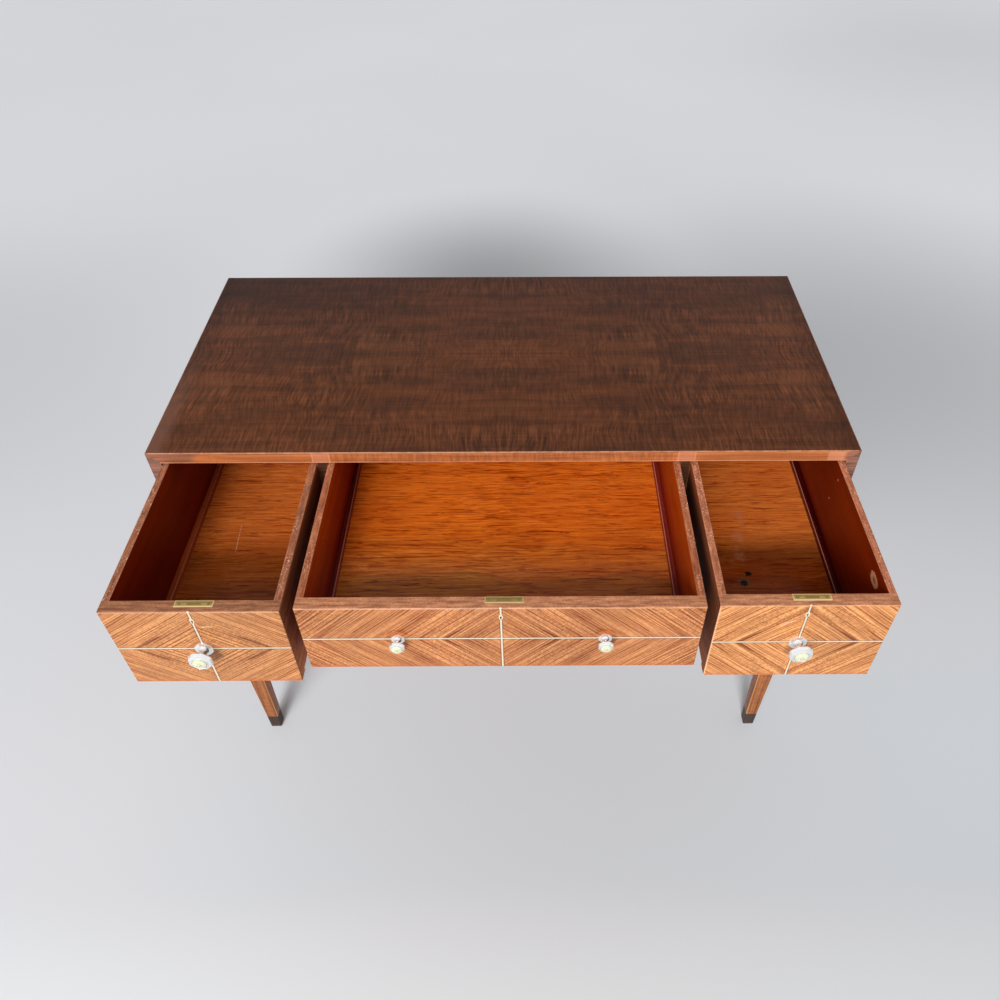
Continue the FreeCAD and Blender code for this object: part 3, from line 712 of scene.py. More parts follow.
def front_finish(name, seed):
    """Ribbon veneer matched as a diamond about the crossing of the metal lines."""
    wood = woods()
    node = name + "_drawer_front"
    low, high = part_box(node)
    finish = Finish("Ribbon veneer " + name)
    spot = finish.spot
    x, y, z = spot.parts()
    turned = finish.group("Desk diamond match", {"Vector": spot, "Centre": middle(node), "Slip": 0.0007,
                                                 "Slope": wood.ribbon_angle + RIBBON_TURN[name]})["Vector"]
    ribbon = grain(turned, "ribbon", stripe_width=0.0078, stripe_share=0.4, streaks=0.2, waviness=0.009,
                   pores=0.3, seed=seed)
    colour = dark_lines(turned, ribbon["Color"], seed)
    colour = colour * spot.noise((9, 9, 9)).ramp(0.3, 0.7, 0.9, 1.12) * FRONT_TINT[name]
    colour = colour.painted(z.ramp(low.z + 0.011, low.z), 0.5, 186, 98, 48)
    u, _, w = (spot - middle(node)).parts()
    # Painted shadow: thin dark lines along both sides of the metal lines
    colour = colour.stained(abs(u).least(abs(w)).ramp(0.0027, 0.0018), (0.46, 0.38, 0.34))
    for start, end, width, strength in FRONT_MARKS[name]:
        colour = colour.painted(mark(spot, start, end, width), strength, 255, 226, 190)
    if name == "right":
        # Painted highlight along the left edge of the right drawer's front
        colour = colour.painted((x - low.x).ramp(0.002, 0.0012), 0.6, 250, 190, 150)
    if name == "centre":
        colour = filled_holes(spot, colour, low.y, middle(node).z + HOLE_RISE, broken_lines(turned))
    rim_colour = rim_wood(spot, seed + 4) * RIM_TINT[name]
    colour = colour.mixed(finish.looks("up"), rim_colour)
    inside = grain(spot, "inside", seed=seed + 2)
    # The front's inner face takes the left walls' stain and painted shade
    colour = colour.mixed(finish.looks("back"), inside["Color"] * LEFT_WALL_TINT_AND_SHADING[name])
    ends = finish.looks("left").most(finish.looks("right")).most(finish.looks("down"))
    colour = colour.mixed(ends, front_ends(name, spot, seed + 3))
    # The top front edge is rubbed round: the rim's wood runs down over it to a pale line
    below = high.z - z
    colour = colour.mixed(below.ramp(0.0016, 0.0011), rim_colour)
    colour = colour.painted(below.ramp(0.0009, 0.0013) * below.ramp(0.0024, 0.0018), 0.5, 246, 190, 146)
    use = handling(spot, seed)
    colour = colour.painted(use["Scratches"], 0.15, 250, 220, 190)
    return finish.done(colour, polish(use, 0.3, 0.42) + ends * 0.35, ribbon["Height"], specular=0.25)


def filled_holes(spot, colour, front, height, broken):
    """Filled holes above the middle drawer's knobs, with two faint rings round each."""
    upper = spot.parts()[2].ramp(height, height + 0.006)
    for hole_x in FILLED_HOLES:
        gap = spot.net.vector("DISTANCE", spot, (hole_x, front, height))
        colour = colour.painted(gap.ramp(0.0145, 0.011) * upper, 0.4, 204, 106, 44)
        for reach in (0.0122, 0.0148):
            ring = abs(gap - reach).ramp(0.0011, 0.0004)
            colour = colour.stained(ring * (upper * broken), (0.66, 0.5, 0.4))
    return colour


def rim_wood(vector, seed):
    """Short, mottled grain of the drawers' top edges."""
    rim = grain(vector, "rim", stripe_width=0.005, stripe_length=0.025, stripe_share=0.7, streaks=0.08,
                waviness=0.004, pores=0.5, seed=seed)
    return rim["Color"].darkened(curl(vector, 0.0022, 0.004, seed)["Ripple"], 0.78)


def wall_finish(name, seed):
    """Drawer walls: rosy top edges worn to pale specks, stained inside with painted light and shade, dark
    outside from painted shade, with painted highlights on their rounded edges.
    """
    finish = Finish("Drawer walls " + name)
    spot = finish.spot
    lengthwise = spot.along("yxz")
    outside = grain(lengthwise, "outside", stripe_width=0.01, streaks=0.3, waviness=0.008, seed=seed)
    inside = grain(lengthwise, "inside", stripe_width=0.03, stripe_share=0.7, streaks=0.0, waviness=0.02,
                   pores=0.25, seed=seed + 1)["Color"]
    x, y, z = (spot - middle(name + "_drawer_front")).parts()
    nx, _, nz = finish.normal.parts()
    inward = (x * nx < 0.0).most(finish.looks("front"))
    low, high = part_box(name + "_drawer_front")
    reach = (high.z - low.z) / 2
    # Painted shade: the inner walls darker towards their foot
    stained = (inside * LOWER_WALL_SHADE[name]).mixed(z.ramp(-0.4 * reach, 0.9 * reach), inside)
    # Painted light and shade: the left and right inner walls take different shares
    stained = (stained * LEFT_WALL_TINT_AND_SHADING[name]).mixed(x > 0.0, stained * RIGHT_WALL_TINT_AND_SHADING[name])
    # Outside: painted shade high on the walls deep in the gaps between the drawers, and painted light on
    # their lower front corner
    deep = y.ramp(0.01, 0.07)
    shade_mask = z.ramp(0.97 * reach, 0.5 * reach) * deep.most(CORNER_SHADE[name])
    lower = z.ramp(0.5 * reach, -0.8 * reach) * (1.0 - deep)
    shaded_outside = outside["Color"].stained(shade_mask, OUTSIDE_SHADE[name]).stained(lower, CORNER_LIGHT[name])
    # A paler band just under the top edge outside: partly wear, partly painted light
    shaded_outside = shaded_outside.stained(z.ramp(reach - 0.006, reach - 0.002), (1.7, 1.5, 1.4))
    colour = shaded_outside.mixed(inward, stained)
    rubs = spot.noise(330.0, 3, 0.75).ramp(0.56, 0.64) * spot.noise(16.0, 2).ramp(0.4, 0.56)
    rubbed = rim_wood(lengthwise, seed + 2) * RIM_STAIN[name] * RIM_TINT[name]
    colour = colour.mixed(finish.looks("up"), rubbed.painted(rubs, 0.8, 240, 192, 166))
    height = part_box(name + "_drawer_slips")[1].z - (high.z + low.z) / 2 + FOOT_HEIGHT[name]
    foot = z.ramp(height, height - 0.001) * inward
    if name == "left":
        colour = colour.mixed(foot * (x < 0.0), shade(164, 72, 30))
    else:
        colour = colour.stained(foot, (0.5, 0.26, 0.6))
    if name == "right":
        colour = colour.mixed(inward, right_wall_marks(spot, colour))
    # Painted highlight on the rounded top edges, which tilt up towards the light
    edge = nz.ramp(0.3, 0.6) * nz.ramp(0.95, 0.85)
    colour = colour.painted(edge, 0.4, 236, 180, 148)
    rough = polish(handling(spot, seed), 0.26, 0.42) + (1.0 - inward) * 0.35
    return finish.done(colour, rough, outside["Height"], specular=0.12)


def right_wall_marks(spot, colour):
    """A bare, rubbed oval and two pale specks on the right drawer's right wall."""
    centre = [value * MM for value in (503.7, -313.5, 720.5)]
    gap = spot.net.vector("LENGTH", (spot - centre) * (1, 1, 1.7))
    ragged = gap + (spot.noise(260.0, 4, 0.7) - 0.5) * 0.013
    bare = spot.net.mix(ragged.ramp(0.0075, 0.0045), shade(232, 164, 124), shade(190, 100, 56))
    colour = colour.mixed(ragged.ramp(0.0155, 0.0135), bare)
    for point in ((503.7, -118.7, 725.6), (503.7, -110.6, 680.5)):
        colour = colour.mixed(mark(spot, point, point, 2.6), shade(240, 180, 150))
    return colour


def bottom_finish(name, seed):
    """Polished bottoms with wavy grain from side to side, darker towards the front, with painted light and
    shade along their depth.
    """
    finish = Finish("Drawer bottom " + name)
    spot = finish.spot
    base = grain(spot, "bottom", stripe_width=0.0034, stripe_length=0.11, stripe_share=0.5, streaks=0.3,
                 waviness=0.03, pores=0.6, seed=seed)
    colour = base["Color"].painted(spot.noise((4, 12, 1)).ramp(0.5, 0.68), 0.35, 206, 74, 8)
    y = spot.parts()[1]
    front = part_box(name + "_drawer_front")[1].y
    half_way = front + 0.2
    start, half, end = BOTTOM_LIGHT_AND_SHADE[name]
    # Painted light and shade: the level falls from the front to half way and rises again to the back
    tone = (y.ramp(front + 0.09, half_way, start, half, smooth=False)
            * y.ramp(half_way, CASE_FRONT, 1, end / half, smooth=False))
    colour = colour * tone * BOTTOM_STAIN[name]
    # Painted light: paler towards the back
    colour = colour.painted(y.ramp(CASE_FRONT - 0.09, CASE_FRONT), 0.25, *BOTTOM_LIT_BACK[name])
    ragged = y + (spot.noise((12, 50, 1)) - 0.5) * 0.08
    # Painted sheen and shade over the front half, then painted shade on a ragged strip next to the front
    colour = colour.stained(ragged.ramp(front + 0.23, front + 0.14), BOTTOM_SHEEN_AND_SHADE[name])
    colour = colour.stained(ragged.ramp(front + 0.14, front + 0.12), BOTTOM_SHADE[name])
    cracks = spot.noise((20, 420, 1), distortion=0.6)
    colour = colour.stained(cracks.ramp(0.6, 0.66), (0.52, 0.36, 0.3))
    checks = spot.noise((9, 150, 1), distortion=0.8)
    colour = colour.stained(checks.ramp(0.625, 0.64) * checks.ramp(0.675, 0.655), (0.5, 0.3, 0.3))
    smudges = spot.noise((28, 230, 1), 3, 0.6, 0.6)
    strength = 1.0 if name == "centre" else 0.6
    colour = colour.stained(smudges.ramp(0.52, 0.64) * strength, (0.74, 0.62, 0.56))
    if name == "left":
        scratch = mark(spot, (-431.6, -91.3, 606.2), (-427.6, -148.4, 606.2), 1.0, 0.9)
        colour = colour.painted(scratch, 0.5, 240, 190, 150)
    if name == "right":
        colour = right_bottom_marks(spot, colour)
    use = handling(spot, seed)
    colour = colour.painted(use["Scratches"], 0.2, 240, 170, 120)
    return finish.done(colour, polish(use, 0.18, 0.34), base["Height"])


def right_bottom_marks(spot, colour):
    """Ink spots with a pale ring, and a pale smear, near the front of the right drawer."""
    smear = mark(spot, (382, -72, 606.2), (364, -172, 606.2), 16.0, 1.2)
    colour = colour.painted(smear * spot.noise(60.0, 3).ramp(0.42, 0.65), 0.35, 196, 130, 100)
    ring = mark(spot, (366, -219, 606.2), (366, -219, 606.2), 12.5, 1.0)
    colour = colour.painted(ring.ramp(0.05, 0.3), 0.65, 120, 98, 74)
    for point, width in (((365.3, -220, 606.2), 9.0), ((375.5, -201.5, 606.2), 7.5)):
        ink = mark(spot, point, point, width, 1.4).ramp(0.15, 0.45)
        colour = colour.mixed(ink, shade(24, 16, 10))
    return colour


def slip_finish(name, seed):
    """Grooved slips, with a painted highlight as a pale line along their round edge."""
    finish = Finish("Drawer slips " + name)
    stain = [shade(*chart) for chart in SLIP_STAIN[name]]
    base = grain(finish.spot.along("yxz"), stain, stripe_width=0.005, streaks=0.3, waviness=0.003,
                 seed=seed)
    z = finish.normal.parts()[2]
    # Painted highlight on the round edge, where it faces up
    crown_highlight = z.ramp(0.6, 0.78) * z.ramp(0.98, 0.92)
    use = handling(finish.spot, seed)
    colour = base["Color"].painted(crown_highlight, 0.55 if name == "left" else 0.8, 196, 116, 100)
    colour = colour.mixed(use["Specks"], shade(220, 160, 130))
    return finish.done(colour, polish(use, 0.24, 0.4), base["Height"])


def plain_wood(name, order, wood, seed, stripe=0.01):
    """Unpolished secondary wood of the hidden pieces."""
    finish = Finish(name)
    base = grain(finish.spot.along(order), wood, stripe_width=stripe, streaks=0.4, waviness=0.01, pores=0.5,
                 seed=seed)
    use = handling(finish.spot, seed)
    colour = base["Color"].darkened(use["Clouds"].ramp(0.55, 0.8), 0.75)
    return finish.done(colour, polish(use, 0.5, 0.7), base["Height"], 0.5, 0.15 * MM)


# Depth of the hairlines in metal
HAIRLINE = 0.03 * MM


def metal_finish(name, colour, dull, roughness, tarnish, seed=0.0, metallic=1.0, relief=0.3):
    """Metal with hairlines and tarnish; dull is the colour that it tarnishes to."""
    finish = Finish(name)
    marks = metal_marks(finish.spot, seed)
    mixed = finish.mix(marks["Tarnish"] * tarnish, colour, dull)
    rough = marks["Hairlines"] * 0.08 + marks["Tarnish"] * 0.18 + roughness
    return finish.done(mixed, rough, marks["Hairlines"], relief, HAIRLINE, metallic=metallic)


def lock_finish(name):
    """Brass plate with a bright border, rubbed all round and with a painted highlight along its front edge,
    over a lock whose front is painted dark as shade in the keyhole.
    """
    metal = metals()
    finish = Finish("Lock brass " + name)
    low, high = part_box(name + "_lock_case")
    marks = metal_marks(finish.spot, 3.0)
    brass = finish.mix(marks["Tarnish"] * 0.5, metal.brass, shade(150, 120, 62))
    x, y = finish.spot.parts()[:2]
    inset = (x - low.x).least(high.x - x).least((y - low.y).least(high.y - y))
    # The border: rubbed all round, and a painted highlight along the front edge
    border_wear_and_highlight = (inset.ramp(0.0014, 0.0008) * 0.7).most((y - low.y).ramp(0.0026, 0.0018))
    colour = brass.mixed(border_wear_and_highlight, metal.border_wear_and_highlight) * LOCK_TINT[name]
    colour = colour.darkened(y.ramp(high.y - 0.0055, high.y - 0.003) * (1.0 - border_wear_and_highlight), 0.7)
    # Painted shade: the lock's front, seen in the keyhole, dark
    colour = colour.mixed(finish.looks("front"), shade(34, 24, 18))
    return finish.done(colour, marks["Tarnish"].ramp(0, 1, 0.42, 0.6), marks["Hairlines"], 0.3, HAIRLINE,
                       metallic=border_wear_and_highlight.ramp(0, 1, 0.6, 0.2))


def neck_finish(name):
    """Bright neck of the knobs, lightly tarnished, with painted shadow where it meets the cup and a painted
    dark reflection down its right side.
    """
    finish = Finish("Knob neck " + name)
    centre, _, reach = knob_sizes(name)[0]
    marks = metal_marks(finish.spot, 6.0)
    out = (centre.y - finish.spot.parts()[1]) / reach
    nx = finish.normal.parts()[0]
    # Painted shadow near the cup, and a painted dark reflection down the right side
    shadow = (out + nx * 0.05).ramp(0.33, 0.4)
    dark = (shadow * 0.9).most(nx.ramp(0.5, 0.75) * 0.8)
    colour = finish.mix(marks["Tarnish"] * 0.2, metals().chrome, shade(170, 168, 176))
    colour = colour.mixed(dark, shade(30, 30, 44))
    lines = marks["Hairlines"]
    return finish.done(colour, lines.ramp(0, 1, 0.16, 0.26), lines, 0.05, HAIRLINE, metallic=0.5)


def groove_shade_finish():
    """Painted shade in the grooves round the knobs' discs, grey-green and mottled."""
    finish = Finish("Groove shade")
    shade_mask = finish.spot.noise(500.0, 3, 0.6)
    colour = finish.mix(shade_mask.ramp(0.4, 0.65), shade(110, 116, 106), shade(160, 164, 146))
    return finish.done(colour, shade_mask.ramp(0.3, 0.7, 0.7, 0.9), shade_mask, 0.5)


def disc_finish():
    """Pale, slightly cloudy discs in the knobs."""
    finish = Finish("Knob disc")
    clouds = finish.spot.noise(320.0, 3, 0.6)
    disc = metals().disc
    colour = finish.mix(clouds.ramp(0.35, 0.7), disc, [value * 0.82 for value in disc])
    return finish.done(colour, clouds.ramp(0.3, 0.7, 0.3, 0.42), clouds, 0.3, 0.05 * MM, specular=0.25,
                       subsurface_weight=0.15, subsurface_scale=0.002)


def dress(node, material):
    """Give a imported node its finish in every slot."""
    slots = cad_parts[node].material_slots
    if not slots:
        raise RuntimeError(node + " has no material slot")
    for slot in slots:
        slot.material = material


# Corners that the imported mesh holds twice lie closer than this, and sharper edges than this are eased
SEAM = 1e-6
SHARP = math.radians(50)


def soften(node, width):
    """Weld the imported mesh's seams and ease its sharp edges."""
    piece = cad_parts[node]
    weld = piece.modifiers.new("Weld", "WELD")
    weld.merge_threshold = SEAM
    ease = piece.modifiers.new("Ease", "BEVEL")
    ease.width = width
    ease.segments = 2
    ease.limit_method = "ANGLE"
    ease.angle_limit = SHARP
    piece.modifiers.new("Normals", "WEIGHTED_NORMAL")


# Geometry


def save_mesh(name, mesh_maker, body, material, smooth_angle):
    """Turn a filled bmesh into a named piece that rides on a body."""
    mesh = bpy.data.meshes.new(name)
    mesh_maker.normal_update()
    mesh_maker.to_mesh(mesh)
    mesh_maker.free()
    piece = bpy.data.objects.new(name, mesh)
    bpy.context.scene.collection.objects.link(piece)
    for polygon in mesh.polygons:
        polygon.use_smooth = True
    mesh.set_sharp_from_angle(angle=math.radians(smooth_angle))
    mesh.materials.append(material)
    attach(piece, body)
    return piece


def ring_points(centre, across, y, roundness, count=48):
    """A ring about an axis that points forward: eight-sided at 0 roundness, a circle at 1."""
    points = []
    for step in range(count):
        turn = 2 * math.pi * (step + 0.5) / count
        sector = (turn + math.pi / 8) % (math.pi / 4) - math.pi / 8
        eight = across / 2 / math.cos(sector)
        radius = eight + (across / 2 - eight) * roundness
        points.append((centre.x + radius * math.cos(turn), y, centre.z + radius * math.sin(turn)))
    return points


def loft_rings(mesh_maker, rings):
    """Bridge rings of points from back to front and cap both ends."""
    loops = [[mesh_maker.verts.new(point) for point in ring] for ring in rings]
    for back, front in zip(loops, loops[1:]):
        for step in range(len(back)):
            after = (step + 1) % len(back)
            mesh_maker.faces.new((back[step], back[after], front[after], front[step]))
    mesh_maker.faces.new(loops[0][::-1])
    mesh_maker.faces.new(loops[-1])


def slotted_head(mesh_maker, centre, radius, turn, up, steps=14, floor_steps=24):
    """A screw head: two halves of a low disc with a slot between them, over a sunk floor."""
    def add_rings(angles, levels):
        rings = [[(centre.x + reach * math.cos(angle), centre.y + reach * math.sin(angle), centre.z + height)
                  for angle in angles] for reach, height in levels]
        loft_rings(mesh_maker, rings if up > 0 else [ring[::-1] for ring in rings])

    slot, rise, sunk = 0.1 * radius, 0.2 * MM * up, 0.02 * MM * up
    start = math.asin(slot / radius)
    for half in (0, math.pi):
        angles = [start + (math.pi - 2 * start) * step / steps + half + turn for step in range(steps + 1)]
        add_rings(angles, ((radius, 0), (radius, 0.6 * rise), (0.86 * radius, rise)))
    floor = [2 * math.pi * step / floor_steps for step in range(floor_steps)]
    add_rings(floor, ((radius, 0), (radius, sunk)))


# Radius of the screw heads in the lock plates and below the drawer bottoms
LOCK_SCREW = 2.3 * MM
BOTTOM_SCREW = 3.2 * MM


def screw_heads(node, height, places, radius, up):
    """Heads along a node; a place is a share of its length and the turn of the slot."""
    low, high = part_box(node)
    maker = bmesh.new()
    for share, turn in places:
        x = low.x + (high.x - low.x) * share
        slotted_head(maker, Vector((x, (low.y + high.y) / 2, height)), radius, turn, up)
    return maker


# Rings of each part, from back to front: which width they take their share of, then that share, share of
# the knob's reach, and roundness
KNOB_PROFILES = {
    "plate": [("plate", [(1.0, 0.0, 0.0), (1.0, 0.062, 0.0), (0.985, 0.073, 0.0), (0.88, 0.09, 0.02),
                         (0.78, 0.106, 0.05), (0.74, 0.112, 0.1), (0.71, 0.111, 0.15),
                         (0.62, 0.108, 0.5)])],
    "neck": [("plate", [(0.56, 0.1, 1.0), (0.56, 0.125, 1.0), (0.53, 0.15, 1.0), (0.44, 0.19, 0.8),
                        (0.38, 0.25, 0.7), (0.36, 0.31, 0.6), (0.38, 0.37, 0.5), (0.43, 0.415, 0.5)])],
    "cup": [("plate", [(0.43, 0.41, 0.5), (0.47, 0.425, 0.5), (0.47, 0.44, 0.5), (0.44, 0.452, 0.4)]),
            ("cup", [(0.56, 0.5, 0.1), (0.8, 0.585, 0.0), (0.95, 0.635, 0.0), (0.99, 0.65, 0.0),
                     (1.0, 0.662, 0.0), (1.0, 0.68, 0.0), (0.985, 0.7, 0.0), (0.915, 0.786, 0.0),
                     (0.9, 0.79, 0.0), (0.885, 0.776, 0.0), (0.87, 0.78, 0.0), (0.86, 0.79, 0.02)]),
            ("disc", [(1.2, 0.826, 0.15), (1.15, 0.858, 0.3), (1.1, 0.868, 0.4), (1.06, 0.869, 0.5),
                      (1.04, 0.86, 0.5), (1.035, 0.81, 0.5)])],
    "groove": [("disc", [(1.05, 0.82, 0.5), (1.05, 0.854, 0.5), (0.9, 0.854, 0.7)])],
    "disc": [("disc", [(0.99, 0.8, 0.6), (0.99, 0.866, 0.6), (0.965, 0.888, 0.65), (0.88, 0.91, 0.8),
                       (0.7, 0.932, 0.95), (0.5, 0.946, 1.0), (0.3, 0.951, 1.0)])],
    "screw": [("disc", [(0.34, 0.945, 1.0), (0.34, 0.96, 1.0), (0.315, 0.973, 1.0), (0.26, 0.979, 1.0),
                        (0.225, 0.974, 1.0), (0.195, 0.978, 1.0), (0.15, 0.992, 1.0), (0.08, 1.0, 1.0)])],
}


def knob_sizes(drawer):
    """Each knob's place, its three widths and its reach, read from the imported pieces."""
    spans = {part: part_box(drawer + "_knob_" + part) for part in ("plate", "cup", "disc")}
    widths = {part: high.z - low.z for part, (low, high) in spans.items()}
    low, high = spans["plate"]
    reach = high.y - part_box(drawer + "_knob_screw")[0].y
    half = widths["plate"] / 2
    places = [low.x + half] if high.x - low.x < 3 * half else [low.x + half, high.x - half]
    return [(Vector((x, high.y, (low.z + high.z) / 2)), widths, reach) for x in places]


class DESK_OT_case(bpy.types.Operator):
    """Finish the top, sides, dividers, floors and back of the case"""
    bl_idname = "desk.case"
    bl_label = "Case boards"

    def execute(self, context):
        wood = woods()
        dress("desk_top", top_finish())
        for side, seed in (("left", 2.0), ("right", 6.0)):
            node = "case_side_" + side
            dress(node, case_finish("Side veneer " + side, node, "zyx", "top", seed))
            node = "divider_" + side
            # Dark lips for the dividers' front edges: painted shade, as they lie deep between the drawers
            lip = (shade(84, 48, 30), shade(46, 25, 15))
            dress(node, case_finish("Divider wood " + side, node, "yzx", "outside", seed + 1, lip))
        for bay, seed in zip(DRAWERS, (1.0, 5.0, 9.0)):
            node = "bay_bottom_" + bay
            dress(node, case_finish("Bay floor " + bay, node, "yxz", "outside", seed, "rim"))
        dress("case_back", plain_wood("Back board", "xyz", "leg", 3.0, 0.02))
        strips = plain_wood("Runner wood", "yxz", "leg", 6.0)
        dress("drawer_runners", strips)
        dress("drawer_stops", strips)
        for node in ("divider_left", "divider_right", "bay_bottom_centre"):
            soften(node, wood.edge_softness)
        return {"FINISHED"}


class DESK_OT_legs(bpy.types.Operator):
    """Finish the legs, their dark tips, bolts and tenons"""
    bl_idname = "desk.legs"
    bl_label = "Legs and tips"

    def execute(self, context):
        for seed, place in enumerate(("front_left", "front_right", "back_left", "back_right")):
            dress("leg_" + place, leg_finish(place, 3.0 + 2 * seed))
        dress("foot_tips", tip_finish())
        steel = metals().steel
        dress("leg_bolts", metal_finish("Leg bolt steel", steel, shade(84, 76, 66), 0.35, 0.6))
        dress("leg_tenons", plain_wood("Tenon wood", "zxy", "rim", 2.0))
        return {"FINISHED"}


class DESK_OT_drawers(bpy.types.Operator):
    """Finish the drawer fronts, walls, backs, bottoms and slips"""
    bl_idname = "desk.drawers"
    bl_label = "Drawer boxes"

    def execute(self, context):
        wood = woods()
        for seed, name in zip((4.0, 17.0, 31.0), DRAWERS):
            dress(name + "_drawer_front", front_finish(name, seed))
            walls = wall_finish(name, seed)
            for part in ("side_left", "side_right", "back"):
                dress(name + "_drawer_" + part, walls)
                soften(name + "_drawer_" + part, wood.edge_softness)
            dress(name + "_drawer_bottom", bottom_finish(name, seed + 5))
            dress(name + "_drawer_slips", slip_finish(name, seed + 7))
        return {"FINISHED"}


class DESK_OT_inlay(bpy.types.Operator):
    """Finish the metal lines and the keyhole plates"""
    bl_idname = "desk.inlay"
    bl_label = "Metal lines and keyhole plates"

    def execute(self, context):
        string = metals().string
        for seed, name in enumerate(DRAWERS):
            line = metal_finish("Metal line " + name, string, shade(170, 152, 126), 0.55, 0.5, seed, 0.3)
            dress(name + "_inlay", line)
            dress(name + "_escutcheon", line)
        return {"FINISHED"}


class DESK_OT_locks(bpy.types.Operator):
    """Finish the locks and their bolts, and make the heads of the screws"""
    bl_idname = "desk.locks"
    bl_label = "Locks and screws"

    def execute(self, context):
        bolt = metal_finish("Bolt brass", metals().bolt, shade(96, 76, 40), 0.36, 0.6, metallic=0.7)
        for name in DRAWERS:
            case = name + "_lock_case"
            dress(case, lock_finish(name))
            dress(name + "_lock_bolt", bolt)
            heads = screw_heads(case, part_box(case)[1].z, ((0.12, 0.5), (0.88, 1.9)), LOCK_SCREW, 1)
            save_mesh(name + "_lock_screws", heads, "drawer_" + name, bolt, 30)
            count = 3 if name == "centre" else 2
            places = [((number + 0.5) / count, 0.4 + 1.3 * number) for number in range(count)]
            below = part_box(name + "_drawer_bottom")[0].z
            heads = screw_heads(name + "_drawer_back", below, places, BOTTOM_SCREW, -1)
            save_mesh(name + "_bottom_screws", heads, "drawer_" + name, bolt, 30)
        return {"FINISHED"}


class DESK_OT_knobs(bpy.types.Operator):
    """Make the eight-sided knobs with their plates, cups, discs and studs"""
    bl_idname = "desk.knobs"
    bl_label = "Knobs"

    def execute(self, context):
        metal = metals()
        chrome = metal_finish("Chrome", metal.chrome, shade(196, 198, 196), 0.12, 0.3, metallic=0.78,
                              relief=0.02)
        stud = metal_finish("Knob stud", shade(208, 202, 186), shade(150, 144, 128), 0.3, 0.4, metallic=0.4)
        finishes = {"plate": (chrome, "knob_chrome"), "cup": (chrome, "knob_chrome"),
                    "groove": (groove_shade_finish(), "knob_chrome"), "disc": (disc_finish(), "knob_disc"),
                    "screw": (stud, "screw_steel")}
        for name in DRAWERS:
            finishes["neck"] = (neck_finish(name), "knob_chrome")
            for part, (material, slot) in finishes.items():
                maker = bmesh.new()
                for place, widths, reach in knob_sizes(name):
                    rings = [ring_points(place, widths[base] * across, place.y - reach * out, roundness)
                             for base, run in KNOB_PROFILES[part] for across, out, roundness in run]
                    loft_rings(maker, rings)
                piece = save_mesh(name + "_turned_" + part, maker, "drawer_" + name, material, 26)
                if part not in ("neck", "groove"):
                    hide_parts(name + "_knob_" + part)
        return {"FINISHED"}


# Soft pools of light and shade on the floor: place, radius and share of light in the middle
FLOOR_POOLS = ((-1.3, -1.4, 2.4, 1.22), (-0.13, 1.75, 0.87, 0.49), (1.3, 1.2, 1.5, 0.67),
               (1.2, -0.7, 1.2, 0.93), (-1.8, 1.3, 1.3, 0.88), (2.6, 4.4, 2.2, 0.9),
               (0.1, -0.3, 0.75, 0.955))

# Small turns of the photograph's camera about its own axes
CAMERA_ROLL = -0.0003
CAMERA_TURN = 0.0061


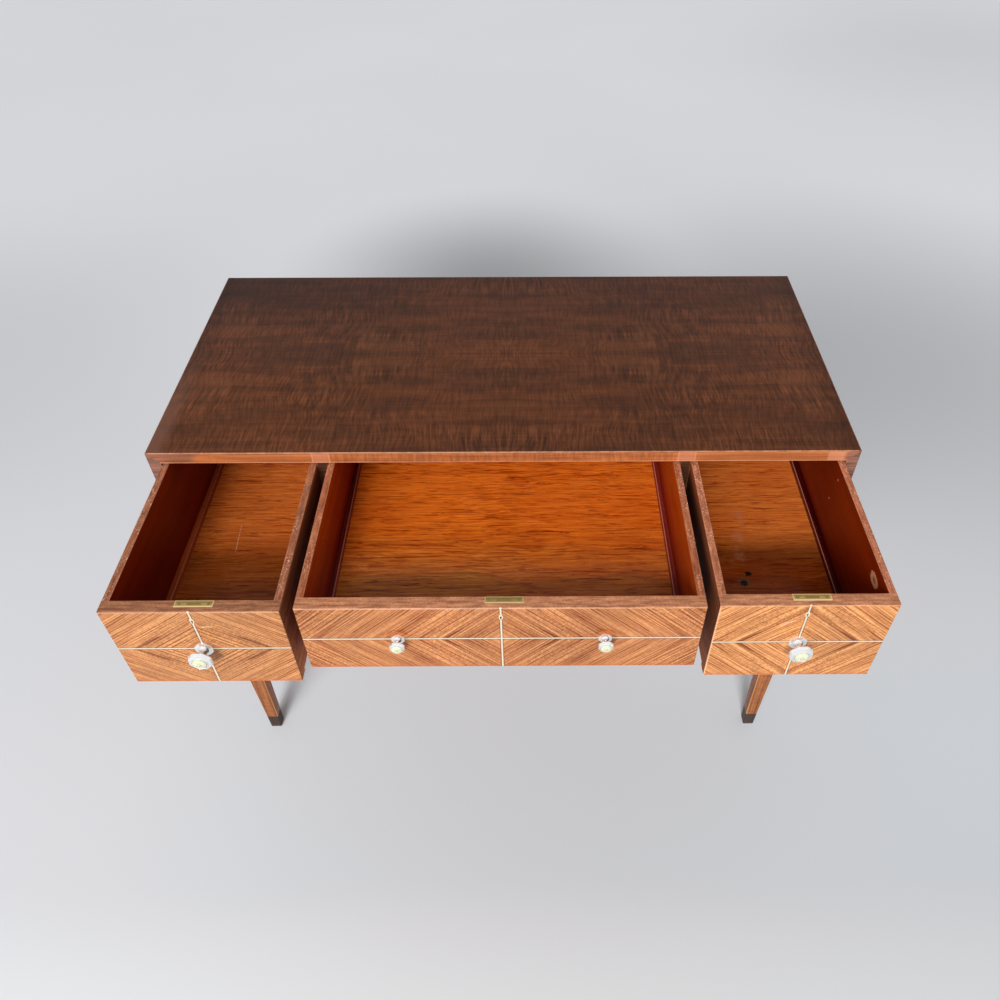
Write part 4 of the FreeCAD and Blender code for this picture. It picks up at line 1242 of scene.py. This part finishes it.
class DESK_OT_studio(bpy.types.Operator):
    """Make the floor, the soft light and the camera"""
    bl_idname = "desk.studio"
    bl_label = "Studio"

    def execute(self, context):
        studio = context.scene.desk_studio
        self.make_floor(studio)
        self.make_room(context.scene, studio)
        self.make_lamps(studio)
        self.make_camera(context.scene, studio)
        return {"FINISHED"}

    def make_floor(self, studio):
        maker = bmesh.new()
        bmesh.ops.create_grid(maker, x_segments=8, y_segments=8, size=20)
        mesh = bpy.data.meshes.new("studio_floor")
        maker.to_mesh(mesh)
        maker.free()
        floor = bpy.data.objects.new("studio_floor", mesh)
        bpy.context.scene.collection.objects.link(floor)
        finish = Finish("Studio floor")
        spot = finish.spot
        drift = spot.noise(0.5).ramp(0.3, 0.7)
        colour = finish.mix(drift, studio.floor, [value * 0.97 for value in studio.floor])
        for pool_x, pool_y, reach, depth in FLOOR_POOLS:
            gap = finish.vector("DISTANCE", spot, (pool_x, pool_y, 0))
            colour = colour.darkened(gap.ramp(reach, 0.0), depth)
        # The floor below the desk is a little bluer, so that the wood's reflected warmth doesn't tint it;
        # further in front the floor is a painted pool of light, a little lighter
        x, y = spot.parts()[:2]
        below = y.ramp(0.2, -0.05) * y.ramp(-0.55, -0.4) * x.ramp(-0.85, -0.45)
        colour = colour.stained(below, (0.96, 0.995, 1.0)).stained(y.ramp(-0.42, -0.66), (1.08, 1.1, 1.08))
        mesh.materials.append(finish.done(colour, 0.9, specular=0.1))

    def make_room(self, scene, studio):
        world = bpy.data.worlds.new("Studio room")
        world.use_nodes = True
        scene.world = world
        world.node_tree.nodes.clear()
        net = Net(world.node_tree)
        rays = net.named("ShaderNodeLightPath")
        y, z = net.named("ShaderNodeTexCoord")["Generated"].parts()[1:]
        far = z.ramp(0.15, 0.6) * y.ramp(-0.2, 0.3)
        pale = net.mix(far, (0.94, 0.94, 0.95), (0.16, 0.16, 0.17))
        seen = net.node("ShaderNodeBackground", [pale, 1.0])[0]
        plain = net.node("ShaderNodeBackground", [(1.0, 1.0, 1.0), studio.room_level])[0]
        shows = rays["Is Camera Ray"].most(rays["Is Glossy Ray"]).most(rays["Is Transmission Ray"])
        both = net.node("ShaderNodeMixShader", [shows, plain, seen])[0]
        net.node("ShaderNodeOutputWorld", [both])

    def make_lamps(self, studio):
        """Two broad lights from the front, given in degrees: how high, how far to the left, how broad."""
        for name, height, left, spread, level in (("main_light", 38, 8, 16, studio.key_level),
                                                  ("low_light", 25, 20, 25, studio.low_level)):
            lamp = bpy.data.lights.new(name, "SUN")
            lamp.energy = level
            lamp.angle = math.radians(spread)
            holder = bpy.data.objects.new(name, lamp)
            holder.rotation_euler = (math.radians(90 - height), 0, math.radians(-left))
            bpy.context.scene.collection.objects.link(holder)

    def make_camera(self, scene, studio):
        camera = bpy.data.cameras.new("camera")
        camera.sensor_width = 36
        camera.lens = studio.lens
        camera.shift_x = -0.0321
        camera.shift_y = 0.04
        holder = bpy.data.objects.new("camera", camera)
        turn = (Matrix.Rotation(studio.camera_tilt, 3, "X") @ Matrix.Rotation(CAMERA_ROLL, 3, "Y")
                @ Matrix.Rotation(CAMERA_TURN, 3, "Z")).transposed()
        axes = Matrix((turn.col[0], turn.col[2], -turn.col[1])).transposed()
        holder.matrix_world = Matrix.Translation(studio.camera_place) @ axes.to_4x4()
        scene.collection.objects.link(holder)
        scene.camera = holder
        scene.view_settings.view_transform = "Standard"


OPERATORS = (DESK_OT_case, DESK_OT_legs, DESK_OT_drawers, DESK_OT_inlay, DESK_OT_locks, DESK_OT_knobs,
             DESK_OT_studio)


class DESK_PT_panel(bpy.types.Panel):
    """The desk's pieces, sizes and colours"""
    bl_idname = "DESK_PT_panel"
    bl_label = "Writing desk"
    bl_space_type = "VIEW_3D"
    bl_region_type = "UI"
    bl_category = "Desk"

    def draw(self, context):
        for operator in OPERATORS:
            self.layout.operator(operator.bl_idname)
        for group in (context.scene.desk_woods, context.scene.desk_metals, context.scene.desk_studio):
            box = self.layout.box()
            for name in group.__annotations__:
                box.prop(group, name)


CLASSES = (DeskWoodSettings, DeskMetalSettings, DeskStudioSettings, *OPERATORS, DESK_PT_panel)


def register():
    for part in CLASSES:
        bpy.utils.register_class(part)
    bpy.types.Scene.desk_woods = PointerProperty(type=DeskWoodSettings)
    bpy.types.Scene.desk_metals = PointerProperty(type=DeskMetalSettings)
    bpy.types.Scene.desk_studio = PointerProperty(type=DeskStudioSettings)


def unregister():
    del bpy.types.Scene.desk_woods
    del bpy.types.Scene.desk_metals
    del bpy.types.Scene.desk_studio
    for part in reversed(CLASSES):
        bpy.utils.unregister_class(part)


def main():
    register()
    for build in (build_grain_group, build_curl_group, build_diamond_group, build_edge_wear_and_highlight_group,
                  build_mark_group, build_handling_group, build_metal_group):
        build()
    bpy.ops.desk.studio()
    bpy.ops.desk.case()
    bpy.ops.desk.legs()
    bpy.ops.desk.drawers()
    bpy.ops.desk.inlay()
    bpy.ops.desk.locks()
    bpy.ops.desk.knobs()


if __name__ == "__main__":
    main()
